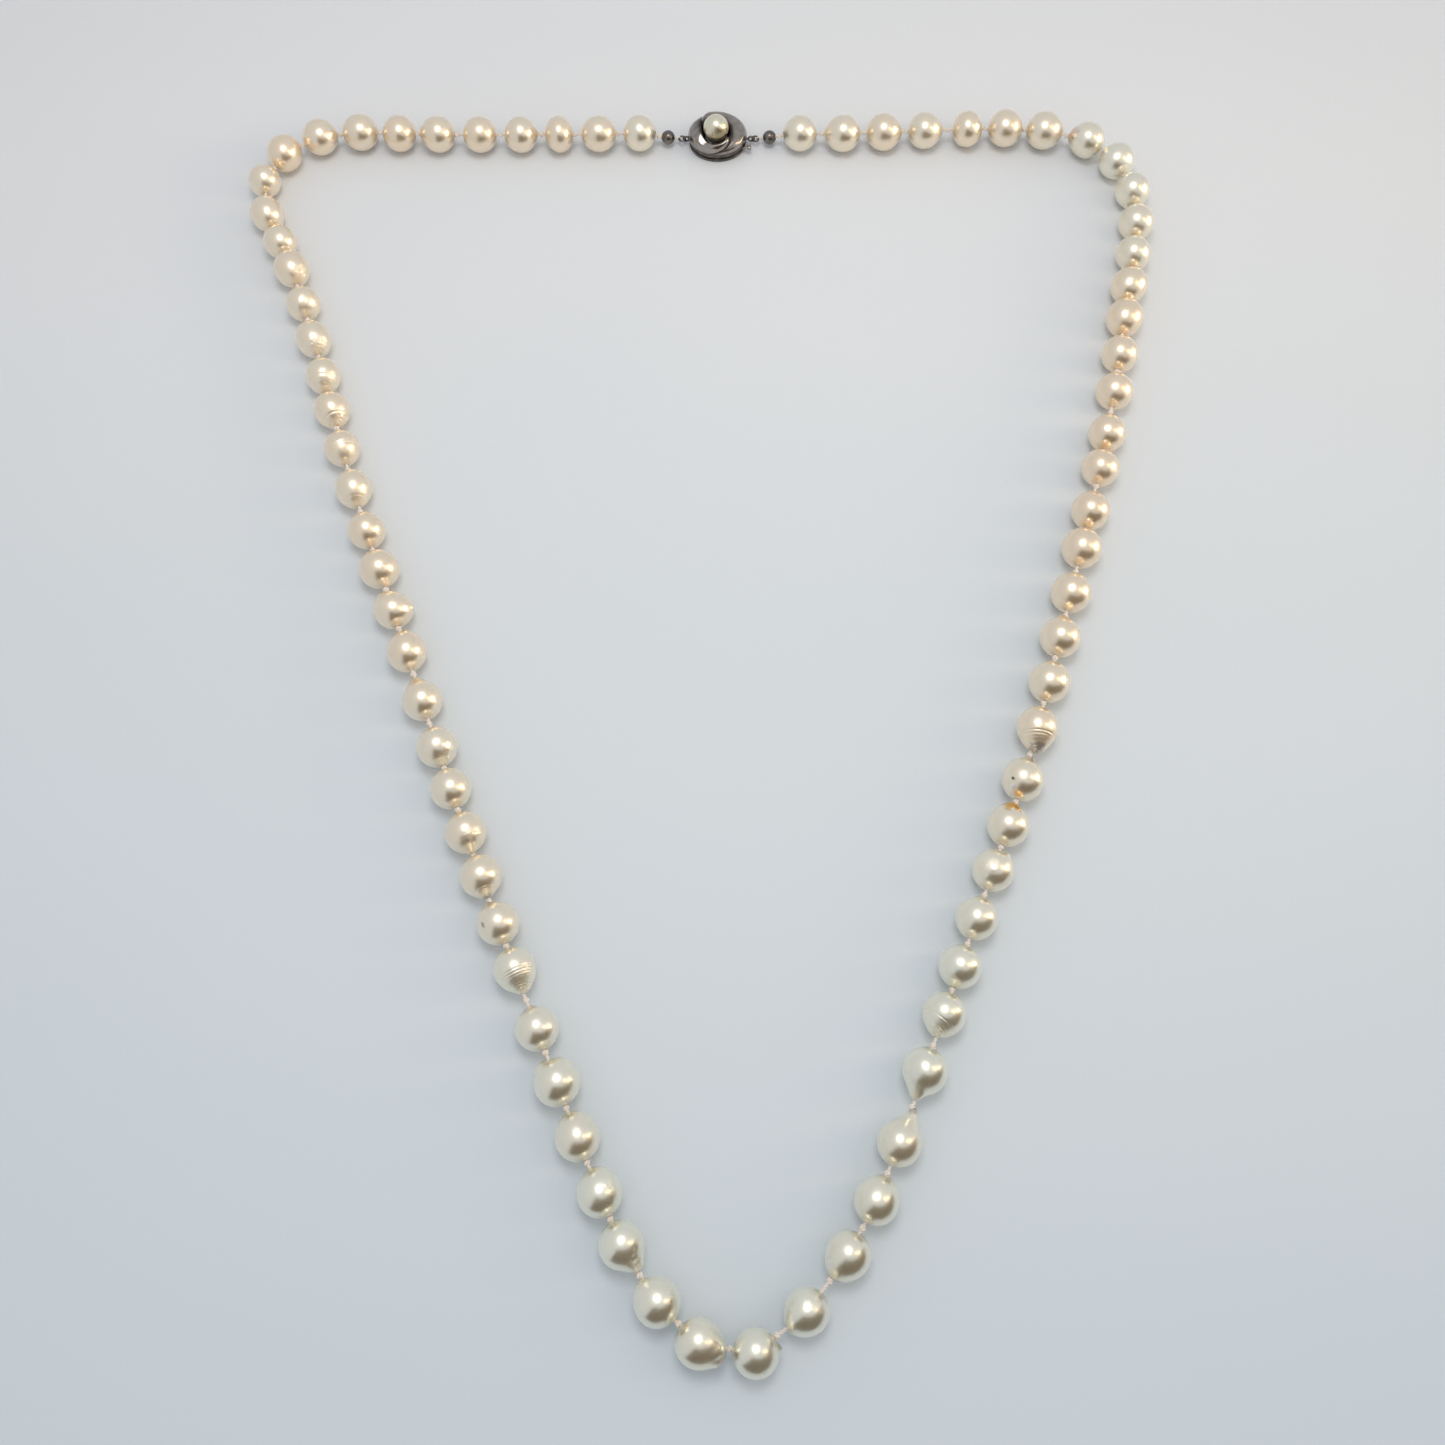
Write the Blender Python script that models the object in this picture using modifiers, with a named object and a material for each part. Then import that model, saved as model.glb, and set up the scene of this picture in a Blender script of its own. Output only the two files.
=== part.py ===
"""Pearl necklace: a hand-knotted strand lying in a loop, closed by a domed tongue-and-box clasp.

The strand is strung on silk with a knot in every gap.  Each rigid piece is two neighbouring pearls
with the knot between them, and the next piece turns about the knot that follows.  The pearls rest
on the plane z = 0, the clasp is at the far side (+Y) and the front pearl at the near side (-Y).
"""

import math

import bpy
import bmesh
from mathutils import Vector

MM = 0.001

# The loop's route on the table, in millimetres, from the pearl beside the clasp to the front pearl.
LEFT_ROUTE = [
    (-12.5, 118.8), (-29.6, 118.5), (-46.7, 118.4), (-63.9, 118.7), (-73.0, 119.0), (-81.2, 117.6),
    (-87.9, 113.4), (-91.4, 106.6), (-90.2, 98.6), (-86.6, 91.0), (-82.6, 82.0), (-77.6, 68.0),
    (-66.8, 34.8), (-53.6, -0.4), (-40.6, -34.8), (-26.4, -69.2), (-14.9, -96.0), (-10.6, -104.8),
    (-5.2, -112.6), (1.6, -118.6), (10.5, -120.0),
]
RIGHT_ROUTE = [
    (21.9, 118.8), (30.9, 118.6), (48.6, 119.5), (65.5, 120.0), (74.4, 119.3), (82.6, 117.3),
    (88.6, 112.0), (91.4, 104.6), (91.6, 96.6), (90.2, 88.2), (87.2, 73.6), (81.4, 47.4),
    (71.4, 12.6), (59.6, -24.6), (46.4, -58.4), (34.9, -87.2), (30.5, -97.0), (25.6, -105.4),
    (19.0, -113.6), (10.5, -120.0),
]
CLASP_PLACE = (4.2, 119.3)

# The strand: pearl diameters grow a little from the clasp to the front.
LEFT_COUNT = 38
RIGHT_COUNT = 35
PEARL_AT_CLASP = 7.35
PEARL_AT_FRONT = 7.70
KNOT_GAP_AT_CLASP = 1.05
CORNER_PEARLS = range(9, 14)
CORNER_CLOSING = 0.55
# Cultured pearls: how much wider or narrower than its neighbours a pearl is.
UNEVEN_PEARLS = {
    "left": {11: -0.5, 12: -0.4, 13: -0.6, 14: -0.3, 15: -0.4, 16: -0.4, 17: -0.4, 18: -0.4, 19: -0.4, 20: -0.2,
             21: -0.2, 23: -0.3, 33: 0.3},
    "right": {2: 0.2, 3: 0.2, 6: 0.2, 7: 0.3, 20: 0.4, 21: 0.3, 22: 0.2, 23: 0.2, 24: 0.2, 25: 0.2, 31: 0.3,
              35: -0.2},
}
# Tied by hand: how much looser or tighter than its neighbours a knot's gap is.
SLACK_KNOTS = {
    "left": {1: 0.3, 3: -0.2, 4: 0.2, 5: 0.3, 6: -0.2, 7: -0.2, 9: 0.3, 10: -0.2, 11: 0.9, 13: -0.3, 14: 0.6,
             15: 0.5, 16: 0.4, 17: -0.3, 18: 0.5, 19: 0.7, 20: 0.8, 21: -0.2, 23: 0.2, 24: 1.0, 25: 0.3,
             26: -0.9, 27: -0.6, 28: -0.9, 29: -0.2, 30: -0.9, 31: 1.5, 35: -1.0, 36: 0.9, 37: -0.9, 38: -0.5},
    "right": {1: 0.7, 3: 0.3, 4: 0.6, 5: -0.5, 6: -0.5, 7: 0.7, 8: -0.7, 11: -0.2, 12: -0.2, 13: -0.3, 16: 0.9,
              17: -0.9, 18: 0.7, 19: -0.7, 20: 0.3, 21: 0.2, 24: 1.1, 25: -0.2, 26: -0.5, 28: -0.3, 29: -0.7,
              30: 0.6, 31: 3.0, 32: 0.6, 34: 1.4, 35: 0.8},
}
SILK_RADIUS = 0.28
KNOT_RADIUS = 0.45

# The clasp: an oval box with a domed cover, a set pearl, and a folded spring tongue.
CLASP_LENGTH = 12.0
CLASP_WIDTH = 9.8
BACK_THICKNESS = 0.6
PIECE_GAP = 0.3
WALL_INSET = 0.45
WALL_THICKNESS = 0.5
WALL_HEIGHT = 1.4
COVER_HEIGHT = 3.2
COVER_THICKNESS = 0.4
CLASP_PEARL = 5.5
CLASP_PEARL_PLACE = (-0.3, -0.8, 5.6)
CUP_THICKNESS = 0.4
CUP_REACH = math.radians(42)
PEG_RADIUS = 0.35
PEG_LENGTH = 1.9
SLOT_WIDTH = 5.4
SLOT_TOP = 2.05
TONGUE_WIDTH = 4.6
LEAF_THICKNESS = 0.25
LOWER_LEAF_TOP = 1.2
TONGUE_TIP = -2.4
TONGUE_END = 6.2
LEAF_OPENING = math.radians(2.0)
TAB_SIZE = (1.0, 1.2, 0.8)
TAB_PLACE = (6.8, -2.5, 1.75)

# The fittings between the clasp and the strand.
LEFT_EYE = -6.75
RIGHT_EYE = 7.3
EYE_HEIGHT = 1.5
RING_RADIUS = 0.65
RING_WIRE = 0.2
LINK_STEP = 0.85
SILK_LOOP_RADIUS = 0.55
SILK_LOOP_WIRE = 0.15
BEAD_RADIUS = 1.44
BEAD_BORE = 0.45
BEAD_STEP = 2.25

PEARL_SIDES = 8
PEARL_ARC = 6
KNOT_SIDES = 6

COLOURS = {
    "pearl": ((0.86, 0.80, 0.70), 0.18, 0.0),
    "silk": ((0.82, 0.74, 0.66), 0.70, 0.0),
    "silver": ((0.42, 0.40, 0.38), 0.25, 1.0),
    "polished_silver": ((0.72, 0.72, 0.72), 0.15, 1.0),
}


# ---------------------------------------------------------------- scene and materials

def clear_scene():
    for obj in list(bpy.data.objects):
        bpy.data.objects.remove(obj, do_unlink=True)


def new_collection(name):
    collection = bpy.data.collections.new(name)
    bpy.context.scene.collection.children.link(collection)
    return collection


def make_material(name):
    colour, roughness, metallic = COLOURS[name]
    material = bpy.data.materials.new(name)
    material.use_nodes = True
    shader = material.node_tree.nodes["Principled BSDF"]
    shader.inputs["Base Color"].default_value = (*colour, 1.0)
    shader.inputs["Roughness"].default_value = roughness
    shader.inputs["Metallic"].default_value = metallic
    return material


def new_object(name, mesh, collection, material=None, helper=False):
    obj = bpy.data.objects.new(name, mesh)
    collection.objects.link(obj)
    if material:
        mesh.materials.append(material)
    if helper:
        obj.hide_render = True
        obj.display_type = "WIRE"
    return obj


def new_empty(name, place, parent, collection):
    """An empty on a joint's axis.  place is in world millimetres; no empty is turned at rest."""
    empty = bpy.data.objects.new(name, None)
    empty.empty_display_size = 2 * MM
    empty["place"] = tuple(place)
    collection.objects.link(empty)
    hang(empty, parent, place)
    return empty


def hang(obj, parent, place, direction=None):
    """Puts obj at a world place, in millimetres, under an unturned parent, local Z along direction."""
    base = Vector(parent["place"]) if parent else Vector((0, 0, 0))
    obj.parent = parent
    obj.location = (Vector(place) - base) * MM
    if direction is not None:
        obj.rotation_euler = Vector(direction).to_track_quat("Z", "Y").to_euler()


def unite(obj, helper, operation="UNION"):
    modifier = obj.modifiers.new(helper.name, "BOOLEAN")
    modifier.operation = operation
    modifier.object = helper


# ---------------------------------------------------------------- route and spacing

def smooth_curve(points, steps=60):
    """Dense points along a centripetal Catmull-Rom curve through the given points."""
    ends = [2 * points[0] - points[1]] + points + [2 * points[-1] - points[-2]]
    dense = []
    for a, b, c, d in zip(ends, ends[1:], ends[2:], ends[3:]):
        t1 = math.sqrt((b - a).length)
        t2 = t1 + math.sqrt((c - b).length)
        t3 = t2 + math.sqrt((d - c).length)
        for step in range(steps):
            t = t1 + (t2 - t1) * step / steps
            first = a.lerp(b, t / t1)
            second = b.lerp(c, (t - t1) / (t2 - t1))
            third = c.lerp(d, (t - t2) / (t3 - t2))
            left = first.lerp(second, t / t2)
            right = second.lerp(third, (t - t1) / (t3 - t1))
            dense.append(left.lerp(right, (t - t1) / (t2 - t1)))
    return dense + [points[-1]]


def walk(curve, reaches):
    """Places along the curve whose straight distances are the reaches, or None past its end."""
    places = [curve[0]]
    span = 0
    for reach in reaches:
        here = places[-1]
        while span + 1 < len(curve) and (curve[span + 1] - here).length < reach:
            span += 1
        if span + 1 >= len(curve):
            return None
        low, high = 0.0, 1.0
        for _ in range(40):
            middle = (low + high) / 2
            if (curve[span].lerp(curve[span + 1], middle) - here).length < reach:
                low = middle
            else:
                high = middle
        places.append(curve[span].lerp(curve[span + 1], low))
    return places


def knot_gaps(count, gap_at_front, slack):
    gaps = []
    for i in range(count):
        gap = KNOT_GAP_AT_CLASP + (gap_at_front - KNOT_GAP_AT_CLASP) * i / (count - 1)
        if i + 1 in CORNER_PEARLS:
            gap -= CORNER_CLOSING
        gaps.append(gap + slack.get(i + 1, 0.0))
    return gaps


def string_side(route, count, uneven, slack):
    """Centres, radii and knot gaps of one side, the knots slackening so that the side is filled."""
    curve = smooth_curve([Vector(point) for point in route])
    growth = (PEARL_AT_FRONT - PEARL_AT_CLASP) / count
    radii = [(PEARL_AT_CLASP + growth * i + uneven.get(i + 1, 0.0)) / 2 for i in range(count + 1)]
    low, high = 0.0, 4.0
    for _ in range(40):
        middle = (low + high) / 2
        gaps = knot_gaps(count, middle, slack)
        reaches = [a + b + gap for a, b, gap in zip(radii, radii[1:], gaps)]
        if walk(curve, reaches):
            low = middle
        else:
            high = middle
    gaps = knot_gaps(count, low, slack)
    flat = walk(curve, [a + b + gap for a, b, gap in zip(radii, radii[1:], gaps)])
    centres = [Vector((place.x, place.y, radius)) for place, radius in zip(flat, radii)]
    return centres, radii, gaps


def middle_shift(sides):
    """The move that brings the strand's own box to the origin in X and Y."""
    low = Vector((1e9, 1e9))
    high = -low
    for centres, radii, _ in sides:
        for centre, radius in zip(centres, radii):
            for axis in (0, 1):
                low[axis] = min(low[axis], centre[axis] - radius)
                high[axis] = max(high[axis], centre[axis] + radius)
    return Vector((-(low[0] + high[0]) / 2, -(low[1] + high[1]) / 2, 0.0))


# ---------------------------------------------------------------- turned shapes

def turned(name, profile, collection, sides, material=None, helper=False):
    """A solid turned about local Z from (radius, height) points in millimetres, top to bottom."""
    mesh = bpy.data.meshes.new(name)
    points = [(radius * MM, 0.0, height * MM) for radius, height in profile]
    mesh.from_pydata(points, [(i, i + 1) for i in range(len(points) - 1)], [])
    obj = new_object(name, mesh, collection, material, helper)
    screw = obj.modifiers.new("turn", "SCREW")
    screw.axis = "Z"
    screw.angle = 2 * math.pi
    screw.steps = sides
    screw.render_steps = sides
    screw.use_merge_vertices = True
    screw.merge_threshold = 1e-6
    screw.use_smooth_shade = True
    return obj


def ball_profile(radius, height, top_opening=0.0, bottom_opening=0.0):
    """(radius, height) points down a ball's side; an opening ends it at a neck of that radius."""
    points = []
    for step in range(PEARL_ARC + 1):
        angle = math.pi * step / PEARL_ARC
        points.append((radius * math.sin(angle), height + radius * math.cos(angle)))
    points[0] = (top_opening, height + math.sqrt(radius ** 2 - top_opening ** 2))
    points[-1] = (bottom_opening, height - math.sqrt(radius ** 2 - bottom_opening ** 2))
    return points


def knot_sizes(gap):
    knot = min(KNOT_RADIUS, 0.42 * gap)
    return knot, min(SILK_RADIUS, 0.7 * knot)


def pearl_pair(name, centres, radii, gap, collection, material):
    """Two pearls and the knot between them, turned about the line through their centres."""
    knot, silk = knot_sizes(gap)
    span = (centres[1] - centres[0]).length
    profile = ball_profile(radii[1], span, bottom_opening=silk)
    profile.append((knot, radii[0] + gap / 2))
    profile += ball_profile(radii[0], 0.0, top_opening=silk)
    return turned(name, profile, collection, PEARL_SIDES, material)


def single_pearl(name, radius, collection, material):
    return turned(name, ball_profile(radius, 0.0), collection, PEARL_SIDES, material)


def end_knot(name, radius, gap, collection):
    """The silk and its knot standing out of a pearl towards the next piece."""
    knot, silk = knot_sizes(gap)
    profile = [
        (0.0, radius + 0.75 * gap),
        (0.6 * knot, radius + 0.70 * gap),
        (knot, radius + 0.50 * gap),
        (silk, radius + 0.20 * gap),
        (silk, radius - 0.8),
        (0.0, radius - 0.8),
    ]
    return turned(name, profile, collection, KNOT_SIDES, helper=True)


# ---------------------------------------------------------------- the strand

def add_end_knot(link, parent, centre, target, radius, gap, helpers):
    helper = end_knot(link.name + "_knot_" + str(len(link.modifiers)), radius, gap, helpers)
    hang(helper, parent, centre, target - centre)
    unite(link, helper)


def hinge_place(near, far, radius, gap):
    return near + (far - near).normalized() * (radius + gap / 2)


def build_front(sides, parts, helpers, material):
    """The front pearl, the fixed piece of the tree, with a knot towards each side."""
    centre = sides["left"][0][-1]
    radius = sides["left"][1][-1]
    root = new_empty("front_of_strand", centre, None, parts)
    pearl = single_pearl("front_pearl", radius, parts, material)
    direction = sides["right"][0][-2] - sides["left"][0][-2]
    hang(pearl, root, centre, direction)
    for side in ("left", "right"):
        centres, _, gaps = sides[side]
        add_end_knot(pearl, root, centre, centres[-2], radius, gaps[-1], helpers)
    return root


def build_side(side, data, root, parts, helpers, material):
    """The links of one side from the front pearl up to the clasp, each hung on its knot's empty."""
    centres, radii, gaps = data
    count = len(centres) - 1
    groups = [(i, i + 1) for i in range(0, count - 1, 2)]
    if count % 2:
        groups.append((count - 1,))
    parent = root
    for group in reversed(groups):
        last = group[-1]
        place = hinge_place(centres[last + 1], centres[last], radii[last + 1], gaps[last])
        parent = new_empty("%s_knot_%02d" % (side, last + 1), place, parent, parts)
        name = side + "_pearls_" + "_".join("%02d" % (i + 1) for i in group)
        if len(group) == 2:
            pair = [centres[last], centres[last - 1]]
            sizes = [radii[last], radii[last - 1]]
            link = pearl_pair(name, pair, sizes, gaps[last - 1], parts, material)
            hang(link, parent, pair[0], pair[1] - pair[0])
        else:
            link = single_pearl(name.replace("pearls", "pearl"), radii[last], parts, material)
            hang(link, parent, centres[last], centres[last - 1] - centres[last])
        first = group[0]
        if first > 0:
            add_end_knot(link, parent, centres[first], centres[first - 1], radii[first],
                         gaps[first - 1], helpers)
    return parent


# ---------------------------------------------------------------- the clasp

def oval_plate(name, length, width, thickness, parts, material=None, helper=False):
    """A flat oval standing on z = 0 in its own frame."""
    mesh = bpy.data.meshes.new(name)
    shape = bmesh.new()
    bmesh.ops.create_cone(shape, cap_ends=True, segments=32, radius1=0.5, radius2=0.5, depth=1.0)
    bmesh.ops.translate(shape, verts=shape.verts, vec=(0, 0, 0.5))
    bmesh.ops.scale(shape, verts=shape.verts, vec=(length * MM, width * MM, thickness * MM))
    shape.to_mesh(mesh)
    shape.free()
    return new_object(name, mesh, parts, material, helper)


def block(name, size, parts, material=None, helper=False):
    """A box centred on its own origin."""
    mesh = bpy.data.meshes.new(name)
    shape = bmesh.new()
    bmesh.ops.create_cube(shape, size=1.0)
    bmesh.ops.scale(shape, verts=shape.verts, vec=[side * MM for side in size])
    shape.to_mesh(mesh)
    shape.free()
    return new_object(name, mesh, parts, material, helper)


def ring(name, radius, wire, parts, material=None, helper=False):
    """A closed wire ring about its own Z axis."""
    bpy.ops.mesh.primitive_torus_add(
        major_radius=radius * MM, minor_radius=wire * MM, major_segments=14, minor_segments=6)
    obj = bpy.context.active_object
    obj.name = name
    obj.data.name = name
    for owner in list(obj.users_collection):
        owner.objects.unlink(obj)
    parts.objects.link(obj)
    if material:
        obj.data.materials.append(material)
    if helper:
        obj.hide_render = True
        obj.display_type = "WIRE"
    return obj


def clasp_point(x, y, z):
    """World millimetres of a point given from the clasp's middle on the table."""
    return CLASP_MIDDLE + Vector((x, y, z))


def build_back_plate(root, parts, material):
    plate = oval_plate("clasp_back_plate", CLASP_LENGTH, CLASP_WIDTH, BACK_THICKNESS, parts, material)
    bevel = plate.modifiers.new("soft_edge", "BEVEL")
    bevel.width = 0.12 * MM
    bevel.segments = 1
    bevel.limit_method = "ANGLE"
    hang(plate, root, clasp_point(0, 0, 0))


def build_side_wall(root, parts, helpers, material):
    """The box's oval wall, open at the bottom on the tongue's side."""
    length = CLASP_LENGTH - 2 * WALL_INSET
    width = CLASP_WIDTH - 2 * WALL_INSET
    wall = oval_plate("clasp_side_wall", length, width, WALL_HEIGHT, parts, material)
    base = BACK_THICKNESS + PIECE_GAP
    hang(wall, root, clasp_point(0, 0, base))
    hollow = oval_plate("side_wall_hollow", length - 2 * WALL_THICKNESS, width - 2 * WALL_THICKNESS,
                        WALL_HEIGHT + 1, helpers, helper=True)
    hang(hollow, root, clasp_point(0, 0, base - 0.5))
    unite(wall, hollow, "DIFFERENCE")
    slot_height = SLOT_TOP - base + 0.5
    slot = block("tongue_slot", (4.0, SLOT_WIDTH, slot_height), helpers, helper=True)
    hang(slot, root, clasp_point(CLASP_LENGTH / 2 - 1, 0, SLOT_TOP - slot_height / 2))
    unite(wall, slot, "DIFFERENCE")


def build_cover(root, parts, helpers, material):
    """The domed cover: half an ellipsoid shell with a round seat for the pearl and its cup."""
    mesh = bpy.data.meshes.new("clasp_cover")
    shape = bmesh.new()
    bmesh.ops.create_uvsphere(shape, u_segments=28, v_segments=12, radius=1.0)
    below = [vert for vert in shape.verts if vert.co.z < -0.01]
    bmesh.ops.delete(shape, geom=below, context="VERTS")
    size = (CLASP_LENGTH / 2, CLASP_WIDTH / 2, COVER_HEIGHT)
    bmesh.ops.scale(shape, verts=shape.verts, vec=[side * MM for side in size])
    shape.to_mesh(mesh)
    shape.free()
    cover = new_object("clasp_cover", mesh, parts, material)
    shell = cover.modifiers.new("shell", "SOLIDIFY")
    shell.thickness = COVER_THICKNESS * MM
    shell.offset = -1.0
    base = BACK_THICKNESS + WALL_HEIGHT + 2 * PIECE_GAP
    hang(cover, root, clasp_point(0, 0, base))
    seat_radius = CLASP_PEARL / 2 + CUP_THICKNESS + 2 * PIECE_GAP
    seat = turned("pearl_seat", ball_profile(seat_radius, 0.0), helpers, 24, helper=True)
    hang(seat, root, clasp_point(*CLASP_PEARL_PLACE))
    unite(cover, seat, "DIFFERENCE")


def build_pearl_cup(root, parts, material):
    """A dished cup under the pearl, with the peg that the pearl is cemented on."""
    inner = CLASP_PEARL / 2 + PIECE_GAP
    outer = inner + CUP_THICKNESS
    steps = 4
    profile = [(0.0, -inner + PEG_LENGTH), (PEG_RADIUS, -inner + PEG_LENGTH)]
    start = math.asin(PEG_RADIUS / inner)
    for step in range(steps + 1):
        angle = start + (CUP_REACH - start) * step / steps
        profile.append((inner * math.sin(angle), -inner * math.cos(angle)))
    for step in range(steps + 1):
        angle = CUP_REACH * (1 - step / steps)
        profile.append((outer * math.sin(angle), -outer * math.cos(angle)))
    cup = turned("clasp_pearl_cup", profile, parts, 16, material)
    hang(cup, root, clasp_point(*CLASP_PEARL_PLACE))


def build_clasp_pearl(root, parts, material):
    """The set pearl, drilled half way from below for the peg."""
    radius = CLASP_PEARL / 2
    bore = PEG_RADIUS + PIECE_GAP
    steps = 8
    profile = []
    lowest = math.pi - math.asin(bore / radius)
    for step in range(steps + 1):
        angle = lowest * step / steps
        profile.append((radius * math.sin(angle), radius * math.cos(angle)))
    profile.append((bore, -PIECE_GAP))
    profile.append((0.0, -PIECE_GAP))
    pearl = turned("clasp_pearl", profile, parts, 16, material)
    hang(pearl, root, clasp_point(*CLASP_PEARL_PLACE))


def build_tongue(root, leaf_hinge, parts, material):
    """The folded spring tongue, as a lower leaf and an upper leaf that turns about their fold."""
    length = TONGUE_END - TONGUE_TIP
    middle = (TONGUE_END + TONGUE_TIP) / 2
    lower = block("tongue_lower_leaf", (length, TONGUE_WIDTH, LEAF_THICKNESS), parts, material)
    hang(lower, root, clasp_point(middle, 0, LOWER_LEAF_TOP - LEAF_THICKNESS / 2))
    upper = block("tongue_spring_leaf", (length, TONGUE_WIDTH, LEAF_THICKNESS), parts, material)
    rise = math.sin(LEAF_OPENING) * length / 2
    height = LOWER_LEAF_TOP + 0.15 + LEAF_THICKNESS / 2 + rise
    hang(upper, leaf_hinge, clasp_point(middle, 0, height))
    upper.rotation_euler = (0.0, -LEAF_OPENING, 0.0)
    tab = block("thumb_tab", TAB_SIZE, parts, material)
    hang(tab, leaf_hinge, clasp_point(*TAB_PLACE))


def build_fitting(side, sign, eye_x, clasp_root, bead_root, centres, radii, parts, helpers, materials):
    """Eye, jump ring, silk loop and end bead between one half of the clasp and its first pearl."""
    silver = materials["silver"]
    eye = ring(side + "_eye", RING_RADIUS, RING_WIRE, parts, silver)
    hang(eye, clasp_root, clasp_point(eye_x, 0, EYE_HEIGHT), (0, 1, 0))
    jump = ring(side + "_jump_ring", RING_RADIUS + 0.05, RING_WIRE, parts, silver)
    hang(jump, bead_root, clasp_point(eye_x + sign * LINK_STEP, 0, EYE_HEIGHT))
    loop_place = clasp_point(eye_x + sign * 2 * LINK_STEP, 0, EYE_HEIGHT)
    line = (centres[0] - loop_place).normalized()
    bead_place = loop_place + line * BEAD_STEP
    bead = turned(side + "_end_bead", bored_ball_profile(), parts, 16, silver)
    hang(bead, bead_root, bead_place, line)
    bead_length = (centres[0] - bead_place).length - radii[0]
    silk = turned(side + "_silk_end", silk_end_profile(bead_length), parts, 8, materials["silk"])
    hang(silk, bead_root, bead_place, line)
    loop = ring(side + "_silk_loop", SILK_LOOP_RADIUS, SILK_LOOP_WIRE, helpers, helper=True)
    hang(loop, bead_root, loop_place, (0, 1, 0))
    unite(silk, loop)


def bored_ball_profile():
    steps = 8
    start = math.asin(BEAD_BORE / BEAD_RADIUS)
    profile = []
    for step in range(steps + 1):
        angle = start + (math.pi - 2 * start) * step / steps
        profile.append((BEAD_RADIUS * math.sin(angle), BEAD_RADIUS * math.cos(angle)))
    return profile + [profile[0]]


def silk_end_profile(reach):
    """Silk from the loop through the bead to a knot that stops just short of the first pearl."""
    knot_height = (BEAD_RADIUS + reach) / 2
    tip = reach - PIECE_GAP
    inner_end = SILK_LOOP_RADIUS - BEAD_STEP
    return [
        (0.0, tip),
        (0.7 * SILK_RADIUS, tip),
        (KNOT_RADIUS * 0.9, knot_height),
        (SILK_RADIUS, BEAD_RADIUS - 0.05),
        (SILK_RADIUS, inner_end),
        (0.0, inner_end),
    ]


# ---------------------------------------------------------------- the whole necklace

clear_scene()
PARTS = new_collection("pearl_necklace")
HELPERS = new_collection("pearl_necklace_cutters")
MATERIALS = {name: make_material(name) for name in COLOURS}

STRAND = {
    "left": string_side(LEFT_ROUTE, LEFT_COUNT, UNEVEN_PEARLS["left"], SLACK_KNOTS["left"]),
    "right": string_side(RIGHT_ROUTE, RIGHT_COUNT, UNEVEN_PEARLS["right"], SLACK_KNOTS["right"]),
}
SHIFT = middle_shift(STRAND.values())
for strand_centres, _, _ in STRAND.values():
    for strand_centre in strand_centres:
        strand_centre += SHIFT
CLASP_MIDDLE = Vector((*CLASP_PLACE, 0.0)) + SHIFT

FRONT = build_front(STRAND, PARTS, HELPERS, MATERIALS["pearl"])
ENDS = {}
for strand_side, eye_place, sign in (("left", LEFT_EYE, -1), ("right", RIGHT_EYE, 1)):
    side_data = STRAND[strand_side]
    last_link = build_side(strand_side, side_data, FRONT, PARTS, HELPERS, MATERIALS["pearl"])
    loop_at = clasp_point(eye_place + sign * 2 * LINK_STEP, 0, EYE_HEIGHT)
    to_pearl = (side_data[0][0] - loop_at).normalized()
    knot_at = side_data[0][0] - to_pearl * (side_data[1][0] + 0.5)
    bead_empty = new_empty(strand_side + "_bead_knot", knot_at, last_link, PARTS)
    eye_wire = clasp_point(eye_place + sign * RING_RADIUS, 0, EYE_HEIGHT)
    ENDS[strand_side] = new_empty(strand_side + "_eye_pivot", eye_wire, bead_empty, PARTS)
    build_fitting(strand_side, sign, eye_place, ENDS[strand_side], bead_empty,
                  side_data[0], side_data[1], PARTS, HELPERS, MATERIALS)

build_back_plate(ENDS["left"], PARTS, MATERIALS["silver"])
build_side_wall(ENDS["left"], PARTS, HELPERS, MATERIALS["silver"])
build_cover(ENDS["left"], PARTS, HELPERS, MATERIALS["silver"])
build_pearl_cup(ENDS["left"], PARTS, MATERIALS["silver"])
build_clasp_pearl(ENDS["left"], PARTS, MATERIALS["pearl"])
LEAF_HINGE = new_empty("tongue_fold", clasp_point(TONGUE_TIP, 0, LOWER_LEAF_TOP), ENDS["right"], PARTS)
build_tongue(ENDS["right"], LEAF_HINGE, PARTS, MATERIALS["polished_silver"])
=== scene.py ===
"""Looks of the pearl necklace: nacre pearls on knotted silk, and an oxidised silver clasp.

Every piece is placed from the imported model.  Pearl centres and sizes come from the link nodes' own
vertices, and the clasp's pieces from their nodes' boxes.  Lengths are in metres, apart from names
that end in _mm, the clasp's figures and the paths of wires and strips, which are in millimetres.
"""

import math

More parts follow.
